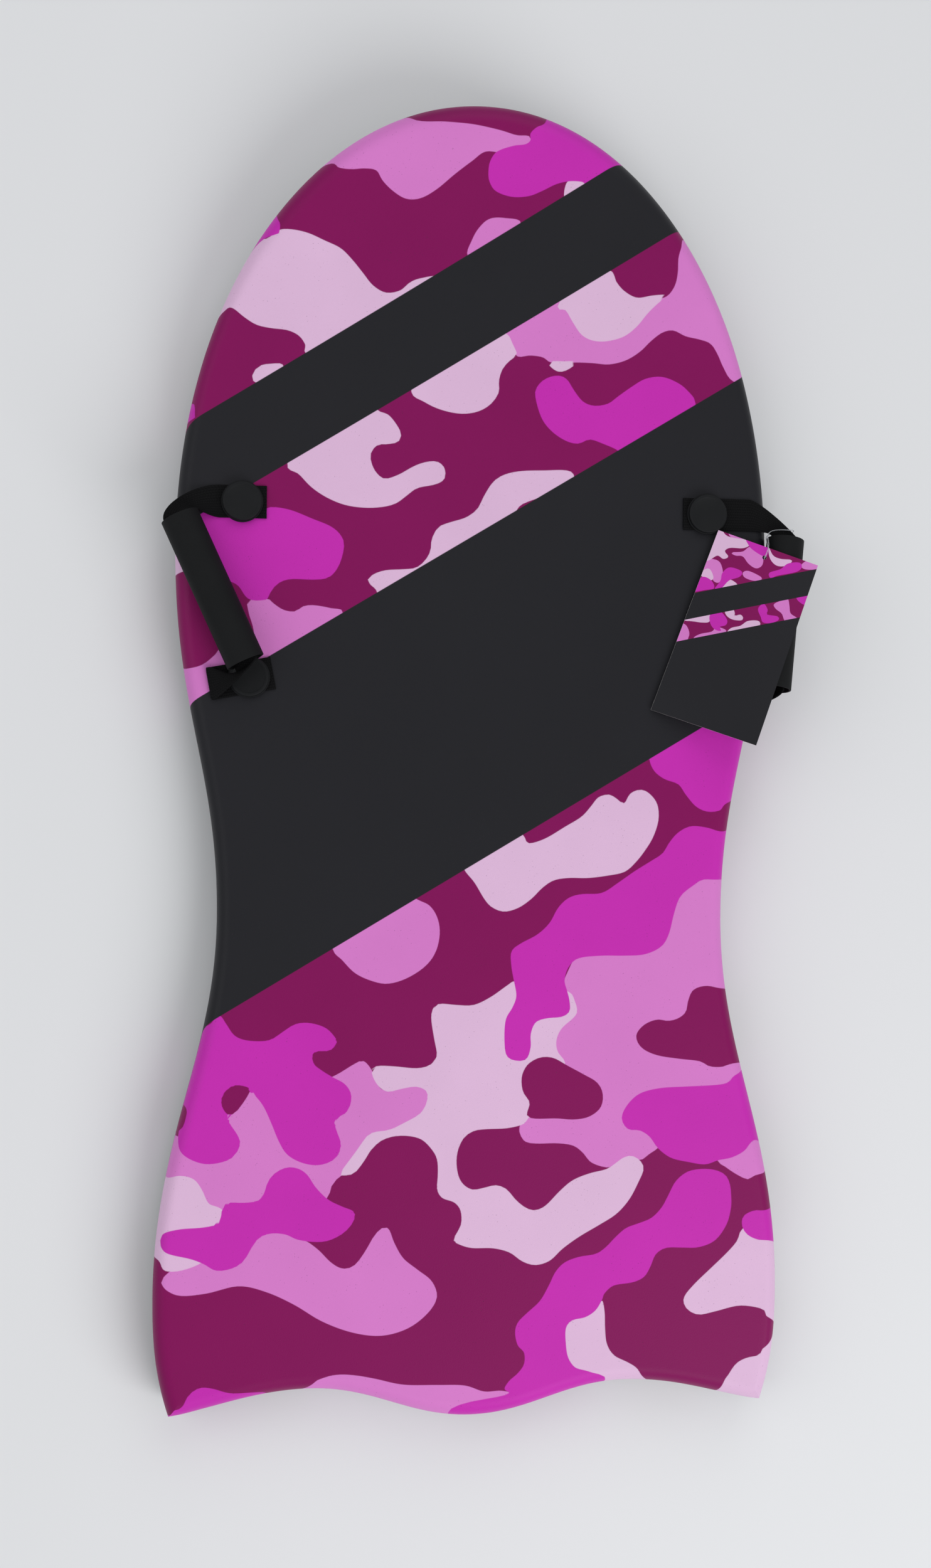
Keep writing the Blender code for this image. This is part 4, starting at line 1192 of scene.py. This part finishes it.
def arm_edges(side, end, cant, twist, flat_share, start_shares, end_shares, fold_share=0.0,
              rise_share=0.0):
    """Both edges of an arm of webbing, from its tab under a plug to the tube's mouth.

    side and end pick the corner, cant turns the tab's heading away from the handle's middle, and the
    shares, in strap widths, say how far the tab runs flat and how far each curve keeps its heading.
    """
    anchor = anchor_at(side, end)
    heading = Vector((side * math.cos(cant), end * math.sin(cant), 0.0))
    away = Vector((-side * math.sin(cant), end * math.cos(cant), 0.0))
    level = UP * strap_level()
    tab_end = anchor - heading * tab_reach + level
    flat_end = anchor + heading * (flat_share * strap_width) + level
    centre, way_out, outboard = mouth(side, end, twist)
    edges = []
    for k, sign in enumerate((1.0, -1.0)):
        across = away * (sign * strap_width / 2)
        points = [tab_end.lerp(flat_end, i / flat_steps) + across for i in range(flat_steps + 1)]
        travel = (heading + UP * rise_share).normalized()
        last = points[-1]
        lands = centre + outboard * sign
        if fold_share:
            radius = fold_share * strap_width
            pivot = last + UP * radius
            for i in range(1, fold_steps + 1):
                angle = math.pi * i / fold_steps
                points.append(pivot + heading * (radius * math.sin(angle))
                              - UP * (radius * math.cos(angle)))
            last = points[-1]
            travel = (-heading + UP * rise_share).normalized()
            lands = centre - outboard * sign
        first = last + travel * (start_shares[k] * strap_width)
        second = lands + way_out * (end_shares[k] * strap_width)
        edges.append(points + bezier(last, first, second, lands, arm_steps))
    return edges


def inner_edges(side, end):
    """Both edges of the webbing inside the tube, from one mouth to the tube's middle."""
    word = "left" if side < 0 else "right"
    front_twist = arm_table[word + "_strap_front"][3]
    rear_twist = arm_table[word + "_strap_rear"][3]
    middle, forward = grip_pose(side)
    half_run = grip_length / 2 - seat
    near, far = [], []
    for i in range(run_steps // 2 + 1):
        share = i / run_steps if end > 0 else 1.0 - i / run_steps
        twist = front_twist + (rear_twist - front_twist) * share
        across = half_strap(side, twist)
        place = middle + forward * (half_run * (1.0 - 2.0 * share))
        near.append(place + across)
        far.append(place - across)
    return near, far


def turn_between(names, upwards=False):
    """Two places: up to the first these arms lie on the board, past the second they follow the tube."""
    side = arm_table[names[0]][0]
    way = UP if upwards else outboard_of_tube(side)
    pinned, carried = [], []
    for name in names:
        end = arm_table[name][1]
        rim = strap_thickness if upwards else plug_skirt_radius
        pinned.append((anchor_at(side, end) + UP * strap_level()).dot(way) + rim)
        carried += [place.dot(way) for edge in inner_edges(side, end) for place in edge]
    return tuple(way * max(pinned)), tuple(way * (min(carried) - strap_thickness / 2))


def webbing_piece(name, finish):
    """An arm and the half of the webbing inside the tube that it leads into, as one woven strip."""
    side, end, cant, twist, shares = arm_table[name]
    near, far = arm_edges(side, end, cant, twist, **shares)
    inner_near, inner_far = inner_edges(side, end)
    if (near[-1] - inner_near[0]).length > (near[-1] - inner_far[0]).length:
        inner_near, inner_far = inner_far, inner_near
    near = np.array(near + inner_near)
    far = np.array(far + inner_far)
    centre = (near + far) / 2
    across = (near - far) / 2
    half_widths = np.linalg.norm(across, axis=1)[:, None]
    across = across / half_widths
    tangent = np.gradient(centre, axis=0)
    normal = np.cross(across, tangent)
    normal /= np.linalg.norm(normal, axis=1)[:, None]
    reach = [math.sin(math.pi / 2 * (2 * i / section_steps - 1)) for i in range(section_steps + 1)]
    bulge = [1.0 - edge_thinning_share * abs(share) ** edge_thinning_power for share in reach]
    loop = [(share, high) for share, high in zip(reach, bulge)]
    loop += [(share, -high) for share, high in zip(reach[::-1], bulge[::-1])]
    loop = np.array(loop)
    places = (centre[:, None] + across[:, None] * (loop[None, :, :1] * half_widths[:, None])
              + normal[:, None] * (loop[None, :, 1:] * strap_thickness / 2))
    mesh = grid_mesh(name, places, ring=True, caps=True)
    lengths = run_lengths(centre)
    spots = np.stack([np.repeat(loop[None, :, 0] * strap_width / 2, len(centre), 0),
                      np.repeat(lengths[:, None], len(loop), 1)], 2).reshape(-1, 2)
    corners = np.zeros(len(mesh.loops), np.int32)
    mesh.loops.foreach_get("vertex_index", corners)
    mesh.uv_layers.new(name="strip").data.foreach_set("uv", spots[corners].astype(np.float32).ravel())
    return add_piece(name, tidy_mesh(mesh, webbing_crease), finish)


def card_ways():
    """The card's directions on the board's plan: across it and down it."""
    return (Vector((math.cos(card_turn), math.sin(card_turn), 0.0)),
            Vector((math.sin(card_turn), -math.cos(card_turn), 0.0)))


def card_place(across_share, down_share):
    """A place on the hang card, which leans on the right tube and drops to the deck inboard."""
    across, down = card_ways()
    middle, forward = grip_pose(1)
    rise = forward * (grip_length / 2)
    over_grip = middle + UP * (grip_radius + card_over_grip)
    inner_top = board_thickness + seat + strap_thickness + card_over_strap
    inner_foot = board_thickness + card_over_deck
    top = inner_top + ((over_grip + rise).z - inner_top) * across_share
    foot = inner_foot + ((over_grip - rise).z - inner_foot) * across_share
    place = Vector((card_corner_out, card_corner_ahead, 0.0))
    place += across * (card_width * across_share) + down * (card_length * down_share)
    place.z = top + (foot - top) * down_share
    return place


def card_mesh():
    """The hang card's upper and lower face and its edge all round."""
    face = np.array([[card_place(k / card_across_steps, i / card_down_steps)
                      for k in range(card_across_steps + 1)] for i in range(card_down_steps + 1)])
    half = np.array((0.0, 0.0, card_thickness / 2))
    ring = np.concatenate([face + half, (face - half)[:, ::-1]], 1)
    mesh = grid_mesh("hang_card", ring, ring=True)
    rows, columns = ring.shape[:2]
    shape = bmesh.new()
    shape.from_mesh(mesh)
    shape.verts.ensure_lookup_table()
    for start in (0, (rows - 1) * columns):
        for k in range(card_across_steps):
            under = columns - 1 - k
            shape.faces.new([shape.verts[start + index] for index in (k, k + 1, under - 1, under)])
    bmesh.ops.recalc_face_normals(shape, faces=shape.faces[:])
    shape.to_mesh(mesh)
    shape.free()
    return mesh


def print_card(mesh):
    """Works out how far each point of the card is from each layer of its print."""
    places = mesh_places(mesh)[:, :2] - np.array((card_corner_out, card_corner_ahead))
    across, down = (places @ np.array(way)[:2] for way in card_ways())
    on_print = np.stack([across, down], 1)
    distances = {layer: layer_distance(outlines, MM, on_print)
                 for layer, outlines in card_blotches.items()}
    level = down + card_band_slope * across
    first, second, third = card_bands
    dark = np.minimum(np.maximum(first - level, level - second), third - level)
    distances["band"] = dark / math.hypot(1.0, card_band_slope)
    set_print(mesh, distances)


def card_piece(print_finish, board_finish):
    """The hang card with its hole, its print on the upper face and bare board elsewhere."""
    card = add_piece("hang_card", card_mesh(), print_finish)
    card.data.materials.append(board_finish)
    hole = card_place(card_hole_in_share, card_hole_down_share)
    cut(card, drill([hole], card_hole_radius, hole.z - overrun, hole.z + overrun))
    mesh = card.data
    for polygon in mesh.polygons:
        polygon.material_index = 0 if polygon.normal.z > card_face_up else 1
    print_card(mesh)
    mesh.shade_smooth()
    mesh.set_sharp_from_angle(angle=card_crease)
    return card


def smooth_line(points, steps):
    """A smooth curve through points that lie at uneven distances."""
    ends = [points[0]] + points + [points[-1]]
    leans = [(ends[i + 2] - ends[i]).normalized() for i in range(len(points))]
    smooth = [points[0]]
    for start, end, leaving, arriving in zip(points, points[1:], leans, leans[1:]):
        reach = (end - start).length / 3
        smooth += bezier(start, start + leaving * reach, end - arriving * reach, end, steps)
    return smooth


def thread_route():
    """The card's thread: through its hole and round the webbing, over and under it."""
    side, end, cant, twist, shares = arm_table["right_strap_front"]
    near_edge, far_edge = arm_edges(side, end, cant, twist, **shares)
    index = -1 - round(loop_back_share * arm_steps)
    near, far = near_edge[index], far_edge[index]
    hole = card_place(card_hole_in_share, card_hole_down_share)
    across = (near - far).normalized()
    normal = across.cross(hole - far).normalized()
    if normal.z < 0:
        normal = -normal
    clear = strap_thickness / 2 + loop_radius + loop_clearance
    brink = card_place(card_hole_in_share, 0.0)
    past_card = UP * (card_thickness / 2 + loop_radius + loop_clearance)
    route = [hole, hole + past_card, brink + past_card, far + normal * clear, near + normal * clear,
             near + across * clear, near - normal * clear, far - normal * clear, brink - past_card,
             hole - past_card, hole]
    return smooth_line(route, loop_steps)


def thread_piece(finish):
    """The thread as one fine open curve, whose two ends meet in the card's hole."""
    path = thread_route()
    curve = bpy.data.curves.new("card_thread", "CURVE")
    curve.dimensions = "3D"
    curve.bevel_depth = loop_radius
    curve.bevel_resolution = 2
    curve.use_fill_caps = True
    spline = curve.splines.new("POLY")
    spline.points.add(len(path) - 1)
    for point, place in zip(spline.points, path):
        point.co = (*place, 1.0)
    drawn = add_piece("thread_line", curve, None)
    mesh = plain_mesh(drawn)
    bpy.data.objects.remove(drawn, do_unlink=True)
    mesh.shade_smooth()
    made = add_piece("card_thread", mesh, finish)
    length = sum((end - start).length for start, end in zip(path, path[1:]))
    return made


def grip_piece(word, side, finish):
    """A tube grip at its place on the webbing."""
    middle, forward = grip_pose(side)
    mesh = turned_mesh(word + "_grip", grip_profile(), closed=True)
    turn = forward.to_track_quat("Z", "Y").to_matrix().to_4x4()
    mesh.transform(Matrix.Translation(middle) @ turn)
    return add_piece(word + "_grip", mesh, finish)


def add_camera():
    data = bpy.data.cameras.new("camera")
    data.lens = camera_lens
    data.sensor_width = camera_sensor
    made = bpy.data.objects.new("camera", data)
    made.location = camera_place
    made.rotation_mode = "ZYX"
    made.rotation_euler = camera_turn
    bpy.context.scene.collection.objects.link(made)
    bpy.context.scene.camera = made


def add_floor():
    """A pale floor that keeps the board's shadow and runs out into the backdrop's colour."""
    mesh = bpy.data.meshes.new("floor")
    low = -floor_gap
    corners = [(x * floor_reach, y * floor_reach, low) for x, y in ((-1, -1), (1, -1), (1, 1), (-1, 1))]
    mesh.from_pydata(corners, [], [(0, 1, 2, 3)])
    finish = Finish("pale_floor", Roughness=floor_roughness, Specular_IOR_Level=floor_shine)
    finish.give("Base Color", linear(floor_colour))
    far = finish.node("VectorMath", {"operation": "LENGTH"}, {0: finish.place()}, output="Value")
    share = ((far - floor_plain_reach) / (floor_blend_reach - floor_plain_reach)).held() * finish.seen()
    shown = finish.node("Emission", inputs={"Color": linear(backdrop_colour)})
    mix = finish.node("MixShader", inputs={0: share, 1: Wire(finish, finish.shader.outputs[0]), 2: shown})
    finish.plug(finish.tree.nodes["Material Output"].inputs["Surface"], mix)
    add_piece("floor", mesh, finish.material)


def add_lamp(name, place, size, power):
    data = bpy.data.lights.new(name, "AREA")
    data.shape = "DISK"
    data.size = size
    data.energy = power
    made = bpy.data.objects.new(name, data)
    made.location = place
    made.rotation_mode = "QUATERNION"
    made.rotation_quaternion = Vector(place).to_track_quat("Z", "Y")
    bpy.context.scene.collection.objects.link(made)


def add_light():
    world = bpy.data.worlds.new("studio")
    bpy.context.scene.world = world
    world.use_nodes = True
    graph = Graph(world.node_tree)
    light = graph.node("Background", inputs={"Color": sky_colour, "Strength": sky_strength})
    shown = graph.node("Background", inputs={"Color": linear(backdrop_colour)})
    mix = graph.node("MixShader", inputs={0: graph.seen(), 1: light, 2: shown})
    graph.plug(graph.tree.nodes["World Output"].inputs["Surface"], mix)
    for name, (place, size, power) in lamps.items():
        add_lamp(name, place, size, power)


def build_board():
    film = printed_finish("printed_film", deck_print_softness, grain_scale=1250.0, grain_depth=0.00016,
                          roughness=0.40, pit_scale=330.0)
    moulding = moulding_finish()
    deck = board_shell("deck_film", deck_section, hidden_spokes, deck_spokes, film)
    slick = board_shell("slick_base", slick_section, hidden_spokes, slick_spokes, slick_finish())
    spots = list(anchors().values())
    cut(deck, drill(spots, bore_radius(), board_thickness - skin - overrun, head_level() + overrun))
    cut(slick, drill(spots, socket_flange_radius + seat, -overrun,
                     socket_sunk + socket_flange_thickness + seat))
    print_deck(deck)
    plugs = at_anchors("plugs", turned_mesh("plug", plug_profile(), closed=False), moulding)
    sockets = at_anchors("sockets", turned_mesh("socket", socket_profile(), closed=False), moulding)
    for piece, slot, nodes in (
            (deck, "printed_deck", ["deck_skin"]), (slick, "slick", ["slick_bottom"]),
            (plugs, "moulding", [word + "_plug" for word in anchors()]),
            (sockets, "moulding", [word + "_socket" for word in anchors()])):
        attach(piece, "board")
        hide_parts(*nodes)
    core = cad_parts["foam_core"]
    core.data.materials.clear()
    core.data.materials.append(foam_finish())


def build_handles():
    webbing = webbing_finish()
    tube = grip_finish()
    for word, side in (("left", -1), ("right", 1)):
        for place in ("front", "rear"):
            name = word + "_strap_" + place
            strap = webbing_piece(name, webbing)
            strap.name = word + "_webbing_" + place
            spot = anchors()[word + "_" + place]
            cut(strap, drill([spot], bore_radius(), board_thickness - overrun, head_level() + overrun))
            if side > 0:
                start, finish = turn_between(right_arms)
            else:
                start, finish = turn_between([name], upwards="fold_share" in arm_table[name][4])
            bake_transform(strap)
            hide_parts(name, word + "_strap_run")
        grip = grip_piece(word, side, tube)
        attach(grip, word + "_grip")
        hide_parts(word + "_grip_tube")


def settle(piece):
    """Gives the card or its thread its own copy of its mesh."""
    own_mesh(piece)


def build_thread():
    thread = thread_piece(thread_finish())
    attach(thread, "board")
    settle(thread)
    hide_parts("tag_loop")


def build_card():
    film = printed_finish("printed_card", card_print_softness, grain_scale=2200.0, grain_depth=0.00004,
                          roughness=0.34, pit_scale=900.0)
    card = card_piece(film, card_edge_finish())
    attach(card, "board")
    settle(card)
    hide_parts("tag_card")


bpy.context.scene.view_settings.view_transform = "Standard"
add_camera()
build_thread()
build_board()
build_handles()
build_card()
add_floor()
add_light()
